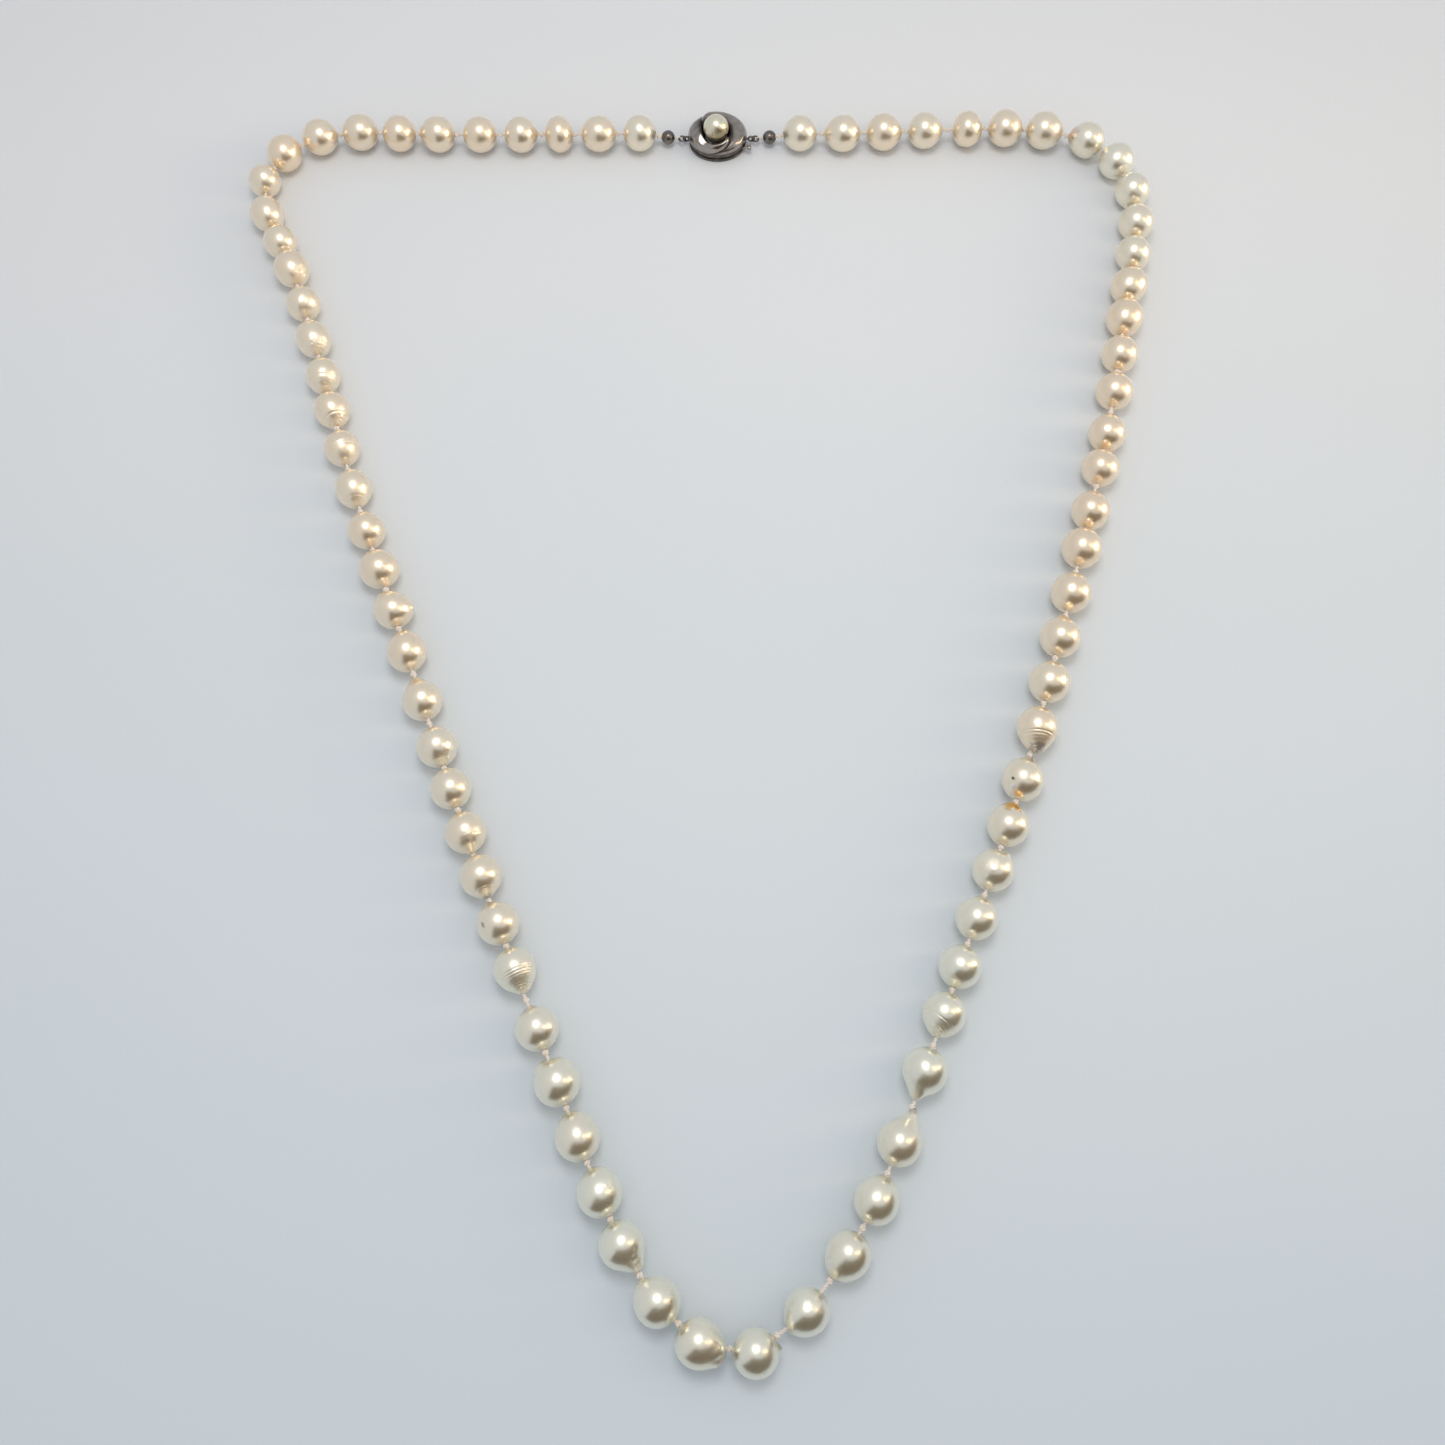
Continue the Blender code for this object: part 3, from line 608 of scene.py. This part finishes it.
def points_of(node):
    return np.array([vert.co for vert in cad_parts[node].data.vertices])


def fitted_ball(points):
    """Centre and radius of the sphere that runs through the points."""
    rows = np.column_stack([2 * points, np.ones(len(points))])
    x, y, z, rest = np.linalg.lstsq(rows, (points ** 2).sum(axis=1), rcond=None)[0]
    return np.array([x, y, z]), math.sqrt(rest + x * x + y * y + z * z)


def resting_pearls(node):
    """(centre, radius) of each pearl of a link, found from the points where it touches the table."""
    points = points_of(node)
    found = []
    for touch in points[points[:, 2] < TOUCHING]:
        if all(np.linalg.norm((touch - centre)[:2]) > MM for centre, _ in found):
            above = points[np.linalg.norm((points - touch)[:, :2], axis=1) < 0.2 * MM]
            radius = above[:, 2].max() / 2
            away = np.linalg.norm(points - touch - radius * UP, axis=1)
            found.append(fitted_ball(points[np.abs(away - radius) < 0.1 * MM]))
    return found


def middle_of(node):
    low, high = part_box(node)
    return np.array((low + high) / 2)


def read_side(side):
    """(centre, radius, body) of the side's pearls, from the clasp to the front."""
    links = [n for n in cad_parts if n.startswith(side + "_pearl")]
    last = middle_of(side + "_end_bead")
    found = []
    for node in sorted(links, key=lambda n: int(n.split("_")[2])):
        pair = sorted(resting_pearls(node), key=lambda p: np.linalg.norm(p[0] - last))
        found += [(centre, radius, node) for centre, radius in pair]
        last = found[-1][0]
    return found


def along_strand(stops, position):
    places, values = zip(*stops)
    return float(np.interp(position, places, values))


def unit(vector):
    return vector / np.linalg.norm(vector)


def string_pearls():
    """Every pearl, as two lists from the clasp that both end in the front pearl."""
    front_centre, front_radius = resting_pearls("front_pearl")[0]
    left, right = read_side("left"), read_side("right")
    front = Pearl("front", front_centre, front_radius, "front_pearl", len(left))
    sides = {}
    for side, found in (("left", left), ("right", right)):
        pearls = []
        for i, (centre, radius, body) in enumerate(found):
            position = i if side == "left" else len(left) + len(right) - i
            pearls.append(Pearl("%s_%02d" % (side, i + 1), centre, radius, body, position))
        chain = [middle_of(side + "_end_bead")] + [p.centre for p in pearls] + [front.centre]
        for i, pearl in enumerate(pearls):
            pearl.before = unit(pearl.centre - chain[i])
            pearl.after = unit(chain[i + 2] - pearl.centre)
        sides[side] = pearls + [front]
    front.before = unit(front.centre - sides["left"][-2].centre)
    front.after = unit(sides["right"][-2].centre - front.centre)
    return sides


def build_pearls(sides, material):
    for pearl in sides["left"] + sides["right"][:-1]:
        nodes = [pearl.body] if pearl.body == "front_pearl" or int(pearl.name[-2:]) % 2 else []
        finished(pearl.build(material), pearl.body, "pearl", *nodes)


# ---------------- silk

def twisted(start_mm, end_mm, phase):
    """Two strands laid round the line from start to end."""
    axis, side, up = frame_about(end_mm - start_mm)
    length = np.linalg.norm(end_mm - start_mm)
    steps = max(6, int(length / 0.12))
    along = np.linspace(0, length, steps)
    turn = phase + along / LAY_LENGTH * 2 * math.pi
    paths = []
    for half in (0.0, math.pi):
        around = circle(turn + half, side, up)
        paths.append(start_mm + along[:, None] * axis + STRAND_OFFSET * around)
    return paths


def knot_path(middle_mm, line, size, length, phase):
    """An overhand knot pulled tight round the line: a closed trefoil."""
    axis, side, up = frame_about(line)
    t = np.linspace(0, 2 * math.pi, 44, endpoint=False)
    reach = size * (0.27 + 0.12 * np.cos(3 * t + phase))
    around = circle(2 * t, side, up)
    return middle_mm + reach[:, None] * around + (length * np.sin(3 * t + phase))[:, None] * axis


def silk_piece(name, start, end, in_start, in_end, rng, material):
    """Twisted silk from inside one hole to inside the next, with a knot snug against one of them."""
    start_mm, end_mm = start / MM, end / MM
    line = unit(end_mm - start_mm)
    gap = np.linalg.norm(end_mm - start_mm)
    size = KNOT_SIZE * min(1.0, 0.55 + 0.35 * gap) * rng.uniform(0.92, 1.08)
    half = min(0.45 * size, 0.46 * gap)
    middle = start_mm + line * rng.choice([half, 0.5 * gap, gap - half], p=[0.35, 0.3, 0.35])
    strand = 0.215 * size
    paths = twisted(start_mm - in_start * line, end_mm + in_end * line, rng.uniform(0, 6))
    paths.append(knot_path(middle, line, size, half - strand * 0.9, rng.uniform(0, 6)))
    radii = [STRAND_RADIUS, STRAND_RADIUS, strand]
    return tubes(name, paths, radii, material, [False, False, True], 2)


def hole_of(pearl, direction):
    return pearl.skin(direction[None, :], 0.99)[0]


def build_silk(sides, material):
    """The knotted silk of every gap; where two links meet it bends from one to the other."""
    rng = np.random.default_rng(7)
    for side, pearls in sides.items():
        for i, (near, far) in enumerate(zip(pearls, pearls[1:])):
            line = unit(far.centre - near.centre)
            start, end = hole_of(near, line), hole_of(far, -line)
            name = "silk_%s_%02d_%02d" % (side, i + 1, i + 2)
            obj = silk_piece(name, start, end, SILK_IN_HOLE, SILK_IN_HOLE, rng, material)
            if near.body == far.body:
                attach(obj, near.body)
            else:
                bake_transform(obj)


# ---------------- fittings between strand and clasp

# The rings' wire is this much thicker than in the model, and this tarnished.
RING_GAUGE = 1.15
RING_TARNISH = 0.45
# The end beads' bore, and the radius of its rubbed edge.
BORE = 0.36
BORE_EDGE = 0.42
# The loop of silk through the jump ring: its middle this far from the bead's.
LOOP_AWAY = 2.25
LOOP_RADIUS = 0.55
LOOP_STRAND = 0.15


def ring_path(middle_mm, axis, radius, start=0.0, end=360.0):
    _, side, up = frame_about(axis)
    turns = np.radians(np.linspace(start, end, 48, endpoint=end - start < 360))
    around = circle(turns, side, up)
    return middle_mm + radius * around


def build_fittings(side, sign, first_pearl, materials):
    """Eye, jump ring, silk loop, end bead and the last knot of one side."""
    bead_body = side + "_bead"
    clasp_body = "clasp_box" if side == "left" else "clasp_tongue"
    eye_at = middle_of(side + "_eye") / MM
    jump_at = middle_of(side + "_jump_ring") / MM
    bead_at = middle_of(side + "_end_bead") / MM
    eye_low, eye_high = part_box(side + "_eye")
    gauge = (eye_high.y - eye_low.y) / MM / 2 * RING_GAUGE
    eye_radius = (eye_high.z - eye_low.z) / MM / 2 - gauge
    stub = eye_at + np.array([-sign * (eye_radius - 0.05), 0, 0])
    stub_end = stub + np.array([-sign * 0.75, 0, -0.1 * (side == "left")])
    eye = tubes(side + "_eye_ring", [ring_path(eye_at, (0, 1, 0), eye_radius), [stub, stub_end]],
                [gauge, 1.25 * gauge], materials["silver"], [True, False], 4)
    fill_values(eye, "hollow", RING_TARNISH)
    finished(eye, clasp_body, "silver", side + "_eye")
    jump_low, jump_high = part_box(side + "_jump_ring")
    jump_radius = (jump_high.y - jump_low.y) / MM / 2 - gauge
    cut = 90 + 140 * sign
    jump = tubes(side + "_cut_ring", [ring_path(jump_at, (0, 0, 1), jump_radius, cut, cut + 352)],
                 [gauge], materials["silver"], [False], 4)
    fill_values(jump, "hollow", RING_TARNISH)
    finished(jump, bead_body, "silver", side + "_jump_ring")

    bead_low, bead_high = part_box(side + "_end_bead")
    radius = (bead_high.z - bead_low.z) / MM / 2
    line = unit(first_pearl.centre / MM - bead_at)
    bore = math.degrees(math.asin(BORE_EDGE / radius))
    profile = [(r, h) for h, r in arc((0, 0), radius, bore, 180 - bore, 30)]
    profile = [(BORE, profile[0][1] - 0.12)] + profile + [(BORE, profile[-1][1] + 0.12)]
    bead = turned(side + "_silver_bead", profile, bead_at, line, materials["silver"], 40, closed=True)
    fill_values(bead, "hollow", 0.4)
    finished(bead, bead_body, "silver", side + "_end_bead")

    loop_at = bead_at - line * LOOP_AWAY
    loop = ring_path(loop_at, (0, 1, 0), LOOP_RADIUS)
    inside = twisted(loop_at + line * 0.5, bead_at + line * radius, 0.4)
    silk = tubes(side + "_silk_loop", [loop] + inside, [LOOP_STRAND] * 3,
                 materials["silk"], [True, False, False], 3)
    fill_values(silk, "worn", 0.85)
    finished(silk, bead_body, "silk", side + "_silk_end")
    start = (bead_at + line * radius) * MM
    end = hole_of(first_pearl, -line)
    rng = np.random.default_rng(31 if side == "left" else 32)
    knot = silk_piece("silk_%s_end_knot" % side, start, end, 0.3, SILK_IN_HOLE, rng, materials["silk"])
    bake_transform(knot)


# ---------------- clasp

# The clasp's middle on the table.
CLASP = middle_of("clasp_back_plate") / MM * np.array([1.0, 1.0, 0.0])
OVAL_STEPS = 96

# The cover: a dome round the pearl's seat, with lobes that each climb to a crest over the next one.
DOME_HEIGHT = 3.04
COVER_INNER = 2.98
COVER_THICKNESS = 0.3
LOBES = 2
LOBE_EDGE = -105.0
LOBE_SWEEP = 78.0
LOBE_HEIGHT = 0.56
LOBE_CREST = 0.93
DISH_DEPTH = 0.9

# The flat on the left lobe that holds the white highlight.  It fades out before the rim.
FACET_AT = (-2.95, -2.20)
FACET_SIZE = 1.75
FACET_SLOPE = 0.45
FACET_DROP = 0.32
FADE_FROM = 0.62
FADE_OVER = 0.34

# The wall's foot is this much lower than in the model, down by the back plate.  The tongue's slot is
# cut in the wall.
WALL_FOOT = 0.25
WALL_THICKNESS = 0.9
SLOT_TOP = 2.05
SLOT_WIDTH = 4.9

# The cup under the pearl: radii of its two faces.
CUP_INNER = 3.05
CUP_OUTER = 3.42

# The tongue's sheet metal.
SHEET = 0.25
FOLD_FROM_TIP = 0.1

# The strip that joins the thumb tab to the corner of the spring leaf.
NECK_OVERLAP = 0.75
NECK_WIDTH = 0.7
NECK_THICKNESS = 0.3
NECK_ASIDE = 0.15


def half_sizes(node):
    low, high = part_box(node)
    return (high.x - low.x) / MM / 2, (high.y - low.y) / MM / 2


def cover_grid():
    """Rows of the cover from the pearl's seat out to its rim, with how much tarnish and painted shade each
    point gets.
    """
    length, width = half_sizes("clasp_cover")
    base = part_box("clasp_cover")[0].z / MM
    pearl = middle_of("clasp_pearl") / MM - CLASP
    at_x, at_y = FACET_AT
    level = DOME_HEIGHT * math.sqrt(1 - (at_x / length) ** 2 - (at_y / width) ** 2) - FACET_DROP
    across = np.concatenate([
        np.linspace(0, 0.84, 42), np.linspace(0.86, 0.92, 8), np.linspace(0.93, 0.997, 14)])
    share = np.tile(across, LOBES)
    round_seat = 360 / LOBES * (share + np.repeat(np.arange(LOBES), len(across)))
    out = np.concatenate([[0.0], np.linspace(0.03, 1.0, 40)])
    rows, cover_tarnish_and_shade = [], []
    for t in out:
        spread = 1 - (1 - t) ** 2
        turn = LOBE_EDGE + LOBE_SWEEP * (1 - t) + round_seat
        way = np.column_stack([np.cos(np.radians(turn)), np.sin(np.radians(turn))])
        inner = pearl[:2] + COVER_INNER * way
        a = (way[:, 0] / length) ** 2 + (way[:, 1] / width) ** 2
        b = 2 * (pearl[0] * way[:, 0] / length ** 2 + pearl[1] * way[:, 1] / width ** 2)
        c = (pearl[0] / length) ** 2 + (pearl[1] / width) ** 2 - 1
        rim = pearl[:2] + ((-b + np.sqrt(b * b - 4 * a * c)) / (2 * a))[:, None] * way
        flat = inner + (rim - inner) * spread
        dome = np.sqrt(np.clip(1 - (flat[:, 0] / length) ** 2 - (flat[:, 1] / width) ** 2, 0, 1))
        rise = np.where(share < LOBE_CREST, (share / LOBE_CREST) ** 1.8,
                        1 - smooth((share - LOBE_CREST) / (1 - LOBE_CREST)))
        lift = LOBE_HEIGHT * rise * (1 - t ** 3)
        crest = 1.0 - 0.80 * share
        dish = DISH_DEPTH * np.clip(1 - t / crest, 0, 1) ** 1.4 * (1 - 0.5 * share)
        top = base + DOME_HEIGHT * dome + lift - dish
        away = np.hypot(flat[:, 0] - at_x, (flat[:, 1] - at_y) * 0.85)
        facet = base + level + FACET_SLOPE * (flat[:, 1] - at_y)
        held = np.exp(-(away / FACET_SIZE) ** 4) * (1 - smooth((t - FADE_FROM) / FADE_OVER))
        top += (facet - top) * held
        lip = 0.5 * (1 - smooth(t / 0.06))
        rows.append(np.column_stack([flat, top - lip]))
        # Painted shade, with some tarnish: darkest at each lobe's start under the crest before it, past each
        # crest, round the pearl's seat, and in the hollow after the top edge.
        shaded = np.exp(-share / 0.05) + smooth((share - LOBE_CREST - 0.03) / 0.04) * 0.8
        shaded += 0.9 * np.exp(-(t / 0.10) ** 2) + 0.6 * smooth(1 - share / 0.35) * smooth(1 - t / 0.7)
        cover_tarnish_and_shade.append(shaded)
    return np.array(rows), np.clip(np.array(cover_tarnish_and_shade), 0, 1)


def build_cover(material):
    """The domed cover as two swirled lobes, each overlapping the other, round the set pearl."""
    rows, cover_tarnish_and_shade = cover_grid()
    count, columns, _ = rows.shape
    points = (rows.reshape(-1, 3) + CLASP) * MM
    cover = mesh_piece("clasp_swirl_cover", points, grid_faces(count, columns), material)
    add_values(cover, "hollow", cover_tarnish_and_shade.ravel())
    shell = cover.modifiers.new("thickness", "SOLIDIFY")
    shell.thickness = COVER_THICKNESS * MM
    shell.offset = -1.0
    finished(settled(cover), "clasp_box", "silver", "clasp_cover")


def oval_ring(length, width, profile):
    """World points of an oval about the clasp's middle, swept by (inset, height) steps, row by row."""
    turns = np.linspace(0, 2 * math.pi, OVAL_STEPS, endpoint=False)
    rows = []
    for inset, height in profile:
        x, y = (length - inset) * np.cos(turns), (width - inset) * np.sin(turns)
        rows.append(np.column_stack([x, y, np.full(OVAL_STEPS, height)]))
    return (np.concatenate(rows) + CLASP) * MM


def build_back_plate(material):
    length, width = half_sizes("clasp_back_plate")
    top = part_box("clasp_back_plate")[1].z / MM
    soft = 0.14
    bend = np.linspace(0.3, 1.57, 4)
    profile = [(0.8 * length, 0.0), (1.5, 0.0), (soft, 0.0)]
    profile += [(soft - soft * math.sin(a), soft - soft * math.cos(a)) for a in bend]
    profile += [(soft - soft * math.sin(a), top - soft + soft * math.cos(a)) for a in bend[::-1]]
    profile += [(soft, top), (1.5, top), (0.8 * length, top)]
    points = oval_ring(length, width, [(min(inset, 0.96 * width), height) for inset, height in profile])
    faces = grid_faces(len(profile), OVAL_STEPS)
    faces.append(tuple(range(OVAL_STEPS)))
    faces.append(tuple((len(profile) - 1) * OVAL_STEPS + i for i in reversed(range(OVAL_STEPS))))
    plate = mesh_piece("clasp_back", points, faces, material)
    weld(plate, POLE_WELD)
    # Painted shade: the back plate darkened as if in shadow under the cover.
    fill_values(plate, "hollow", 0.5)
    finished(plate, "clasp_box", "silver", "clasp_back_plate")


def build_wall(material):
    """The oval wall, cut away where the tongue goes in."""
    length, width = half_sizes("clasp_cover")
    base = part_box("clasp_side_wall")[0].z / MM - WALL_FOOT
    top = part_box("clasp_cover")[0].z / MM - 0.06
    profile = [(0.30, base), (0.10, base + 0.35), (0.02, base + 0.8), (0.0, top - 0.05), (0.05, top)]
    profile += [(WALL_THICKNESS, top), (WALL_THICKNESS, base)]
    points = oval_ring(length, width, profile)
    faces = grid_faces(len(profile), OVAL_STEPS) + closing_faces(len(profile), OVAL_STEPS)
    wall = mesh_piece("clasp_wall", points, faces, material)
    weld(wall, POLE_WELD)
    bpy.ops.mesh.primitive_cube_add(size=1.0)
    cutter = bpy.context.active_object
    cutter.scale = (4 * MM, SLOT_WIDTH * MM, (SLOT_TOP - base + 0.5) * MM)
    cutter.location = (CLASP + np.array([length, 0, (SLOT_TOP + base - 0.5) / 2])) * MM
    cut = wall.modifiers.new("slot", "BOOLEAN")
    cut.operation = "DIFFERENCE"
    cut.object = cutter
    wall = settled(wall)
    bpy.data.objects.remove(cutter)
    wall.data.set_sharp_from_angle(angle=math.radians(40))
    # Painted shade: the wall darkened as if in shadow under the cover's rim.
    fill_values(wall, "hollow", 0.55)
    finished(wall, "clasp_box", "silver", "clasp_side_wall")


def build_cup(material):
    """The dished cup and the peg that the pearl is cemented on."""
    pearl = middle_of("clasp_pearl") / MM
    profile = [(0.0, -1.2), (0.3, -1.2), (0.35, -1.3), (0.35, 0.25 - CUP_INNER), (0.5, 0.05 - CUP_INNER)]
    profile += arc((0, 0), CUP_INNER, -80, -50, 12)
    profile += arc((2.12, -2.52), 0.185, 140, -40, 8)
    profile += arc((0, 0), CUP_OUTER, -51, -89.9, 14)
    profile.append((0.0, -CUP_OUTER))
    cup = turned("pearl_cup", profile, pearl, (0, 0, 1), material, 56)
    finished(cup, "clasp_box", "bright_silver", "clasp_pearl_cup")


def build_set_pearl(material):
    centre = middle_of("clasp_pearl")
    low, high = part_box("clasp_pearl")
    pearl = Pearl("set", centre, (high.z - low.z) / 2, "clasp_box", 91)
    pearl.overtone_and_painted_warmth, pearl.breadth = 0.4, 1.0
    pearl.before = pearl.after = -UP
    obj = pearl.build(material, half_drilled=True)
    finished(obj, "clasp_box", "clasp_pearl", "clasp_pearl")


def sheet_strip(name, path, width, material, thickness=SHEET, corner=0.5, middle=0.0):
    """A strip of sheet metal along an (x, z) path, its middle at this y, all in clasp millimetres."""
    path = np.array(path)
    across = np.linspace(-1, 1, 15)
    rows = []
    travelled = np.concatenate([[0], np.cumsum(np.linalg.norm(np.diff(path, axis=0), axis=1))])
    for (x, z), s in zip(path, travelled):
        inset = corner - math.sqrt(max(0.0, corner ** 2 - max(0.0, corner - s) ** 2))
        rows.append([(x, middle + y * (width / 2 - inset), z) for y in across])
    points = (np.array(rows).reshape(-1, 3) + CLASP) * MM
    n = len(across)
    faces = [(r * n + c, r * n + c + 1, (r + 1) * n + c + 1, (r + 1) * n + c)
             for r in range(len(rows) - 1) for c in range(n - 1)]
    strip = mesh_piece(name, points, faces, material)
    shell = strip.modifiers.new("thickness", "SOLIDIFY")
    shell.thickness = thickness * MM
    shell.offset = 0.0
    edge = strip.modifiers.new("edge", "BEVEL")
    edge.width = 0.05 * MM
    edge.segments = 2
    edge.limit_method = "ANGLE"
    return settled(strip)


def build_tongue(material):
    """The tongue: a strip folded back over itself, its upper leaf a spring with the thumb tab."""
    low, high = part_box("tongue_lower_leaf")
    start, end = np.array(low) / MM - CLASP, np.array(high) / MM - CLASP
    mid = (start[2] + end[2]) / 2
    width = end[1] - start[1]
    leaf_low, leaf_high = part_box("tongue_spring_leaf")
    spring = np.array(leaf_low) / MM - CLASP, np.array(leaf_high) / MM - CLASP
    near, far = spring[0][2] + SHEET / 2, spring[1][2] - SHEET / 2
    fold = (near - mid) / 2
    fold_x = start[0] + FOLD_FROM_TIP
    lower = [(x, mid) for x in np.linspace(end[0], fold_x, 24)]
    lower += arc((fold_x, mid + fold), fold, -90, -250, 10)
    strip = sheet_strip("tongue_lower", lower, width, material)
    finished(strip, "clasp_tongue", "bright_silver", "tongue_lower_leaf")
    xs = np.linspace(spring[1][0], spring[0][0] + 0.15, 30)
    share = (xs - spring[0][0]) / (spring[1][0] - spring[0][0])
    upper = list(zip(xs, near + (far - near) * share))
    strip = sheet_strip("tongue_spring", upper, width, material)
    finished(strip, "tongue_spring", "bright_silver", "tongue_spring_leaf")

    low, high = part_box("thumb_tab")
    size = np.array(high - low) / MM
    middle = np.array(low + high) / 2 / MM
    tab = bmesh.new()
    bmesh.ops.create_cube(tab, size=1.0)
    bmesh.ops.subdivide_edges(tab, edges=tab.edges[:], cuts=5, use_grid_fill=True)
    for vert in tab.verts:
        ridge = 0.05 * math.cos(6 * math.pi * vert.co.y) * (vert.co.z > 0.49)
        rounded = 1 - 0.18 * (abs(vert.co.x * 2) ** 4 + abs(vert.co.y * 2) ** 4) / 2
        vert.co = Vector((vert.co.x * rounded, vert.co.y * rounded, vert.co.z * rounded + ridge))
        vert.co = Vector([c * s * MM for c, s in zip(vert.co, size)]) + Vector(middle * MM)
    mesh = bpy.data.meshes.new("thumb_press")
    tab.to_mesh(mesh)
    tab.free()
    obj = piece("thumb_press", mesh, material)
    soft = obj.modifiers.new("soft", "SUBSURF")
    soft.levels = soft.render_levels = 1
    finished(settled(obj), "tongue_spring", "bright_silver", "thumb_tab")
    tab_x, tab_y = (middle - CLASP)[:2]
    neck = [(x, far) for x in np.linspace(spring[1][0] - NECK_OVERLAP, tab_x, 8)]
    strip = sheet_strip("tab_neck", neck, NECK_WIDTH, material, NECK_THICKNESS, 0.1, tab_y + NECK_ASIDE)
    finished(strip, "tongue_spring", "bright_silver")


# ---------------- studio

def area_light(name, place, aim, size, power, colour):
    """A lamp of this size and power in watts, turned to face a point."""
    data = bpy.data.lights.new(name, "AREA")
    data.shape = "RECTANGLE"
    data.size, data.size_y = size
    data.energy = power
    data.color = colour
    light = placed(name, data)
    light.location = place
    light.rotation_euler = (Vector(aim) - Vector(place)).to_track_quat("-Z", "Y").to_euler()
    return light


def build_room():
    """A pale room all round, a little lighter overhead."""
    world = bpy.data.worlds.new("pale_room")
    bpy.context.scene.world = world
    world.use_nodes = True
    tree = world.node_tree
    way = add(tree, "TexCoord").outputs["Generated"]
    height = add(tree, "SeparateXYZ", None, {0: way}).outputs["Z"]
    colour = ramp(tree, ranged(tree, height, 0.0, 1.0),
                  (0.0, (0.58, 0.61, 0.65)), (0.4, (0.60, 0.62, 0.65)), (1.0, (0.62, 0.63, 0.65)))
    wire(tree, tree.nodes["Background"], {"Color": colour, "Strength": 1.0})


def build_floor(material):
    bpy.ops.mesh.primitive_grid_add(x_subdivisions=8, y_subdivisions=8, size=6.0)
    floor = bpy.context.active_object
    floor.name = "floor"
    floor.location.z = -0.00002
    floor.data.materials.append(material)


# The dark card's foot as (x, y) with the card's height there.  It leans out from a middle on the floor.
CARD = [(-0.09, -0.20, 0.36), (0.0, -0.205, 0.38), (0.06, -0.205, 0.34), (0.11, -0.18, 0.27),
        (0.15, -0.14, 0.19), (0.18, -0.09, 0.13), (0.19, -0.05, 0.09)]
CARD_MIDDLE = (0.02, -0.06)
CARD_LEAN = 0.04
CARD_LIFT = 0.001


def build_dark_card():
    """A dark card that stands round the front right, only for the pearls to mirror."""
    points = []
    for x, y, height in CARD:
        away = np.array([x - CARD_MIDDLE[0], y - CARD_MIDDLE[1]])
        away *= CARD_LEAN / np.linalg.norm(away)
        points += [(x, y, CARD_LIFT), (x + away[0], y + away[1], height)]
    faces = [(2 * i, 2 * i + 2, 2 * i + 3, 2 * i + 1) for i in range(len(CARD) - 1)]
    tree, shader = new_material("dark_card")
    brown = ramp(tree, noise(tree, place_in_object(tree), 9.0),
                 (0.3, (0.10, 0.062, 0.014)), (0.7, (0.14, 0.087, 0.022)))
    wire(tree, shader, {"Base Color": brown, "Roughness": 0.9, "Specular IOR Level": 0.0})
    card = mesh_piece("dark_card", points, faces, bpy.data.materials["dark_card"])
    card.visible_camera = card.visible_shadow = card.visible_diffuse = False


# The photograph's viewing angle: close above the lower half, tilted towards the clasp.
CAMERA_PLACE = (0.00509, -0.09868, 0.2428)
CAMERA_TILT = math.radians(19.318)
CAMERA_LENS = 34.63


def build_camera():
    data = bpy.data.cameras.new("camera")
    data.sensor_width = 36.0
    data.lens = CAMERA_LENS
    data.clip_start = 0.01
    data.clip_end = 20.0
    camera = placed("camera", data)
    camera.location = CAMERA_PLACE
    camera.rotation_euler = (CAMERA_TILT, 0.0, 0.0)
    bpy.context.scene.camera = camera


def build_lights():
    """A soft lamp overhead, and two warm windows on the right, one low with a narrow beam."""
    area_light("overhead", (0.005, 0.055, 0.40), (0.0, 0.0, 0.0), (0.15, 0.15), 0.45, (1.0, 0.99, 0.98))
    area_light("warm_window", (0.42, -0.02, 0.32), (0.0, 0.0, 0.10), (0.06, 0.40), 0.27, (1.0, 0.76, 0.45))
    low = area_light("low_window", (0.46, 0.08, 0.12), (-0.05, 0.08, 0.0), (0.24, 0.16), 0.038,
                     (1.0, 0.80, 0.56))
    low.data.spread = math.radians(36)


# ---------------- the whole scene

MATERIALS = {
    "nacre": nacre("nacre", (0.90, 0.88, 0.75), (0.93, 0.83, 0.66), (0.96, 0.79, 0.59), 0.0011),
    "set_nacre": nacre("set_nacre", (0.74, 0.72, 0.56), (0.82, 0.77, 0.60), (0.85, 0.76, 0.62), 0.0011),
    "silk": silk_material(),
    "silver": silver_material("oxidised_silver", (0.46, 0.42, 0.39), (0.27, 0.24, 0.215), 0.13),
    "bright": silver_material("bright_silver", (0.62, 0.60, 0.57), (0.42, 0.39, 0.36), 0.16),
}

build_camera()
build_room()
build_lights()
build_dark_card()
build_floor(floor_material())

SIDES = string_pearls()
build_pearls(SIDES, MATERIALS["nacre"])
build_silk(SIDES, MATERIALS["silk"])
for strand_side, toward in (("left", -1), ("right", 1)):
    build_fittings(strand_side, toward, SIDES[strand_side][0], MATERIALS)
build_cover(MATERIALS["silver"])
build_back_plate(MATERIALS["silver"])
build_wall(MATERIALS["silver"])
build_cup(MATERIALS["bright"])
build_set_pearl(MATERIALS["set_nacre"])
build_tongue(MATERIALS["silver"])

bpy.context.scene.view_settings.view_transform = "Standard"
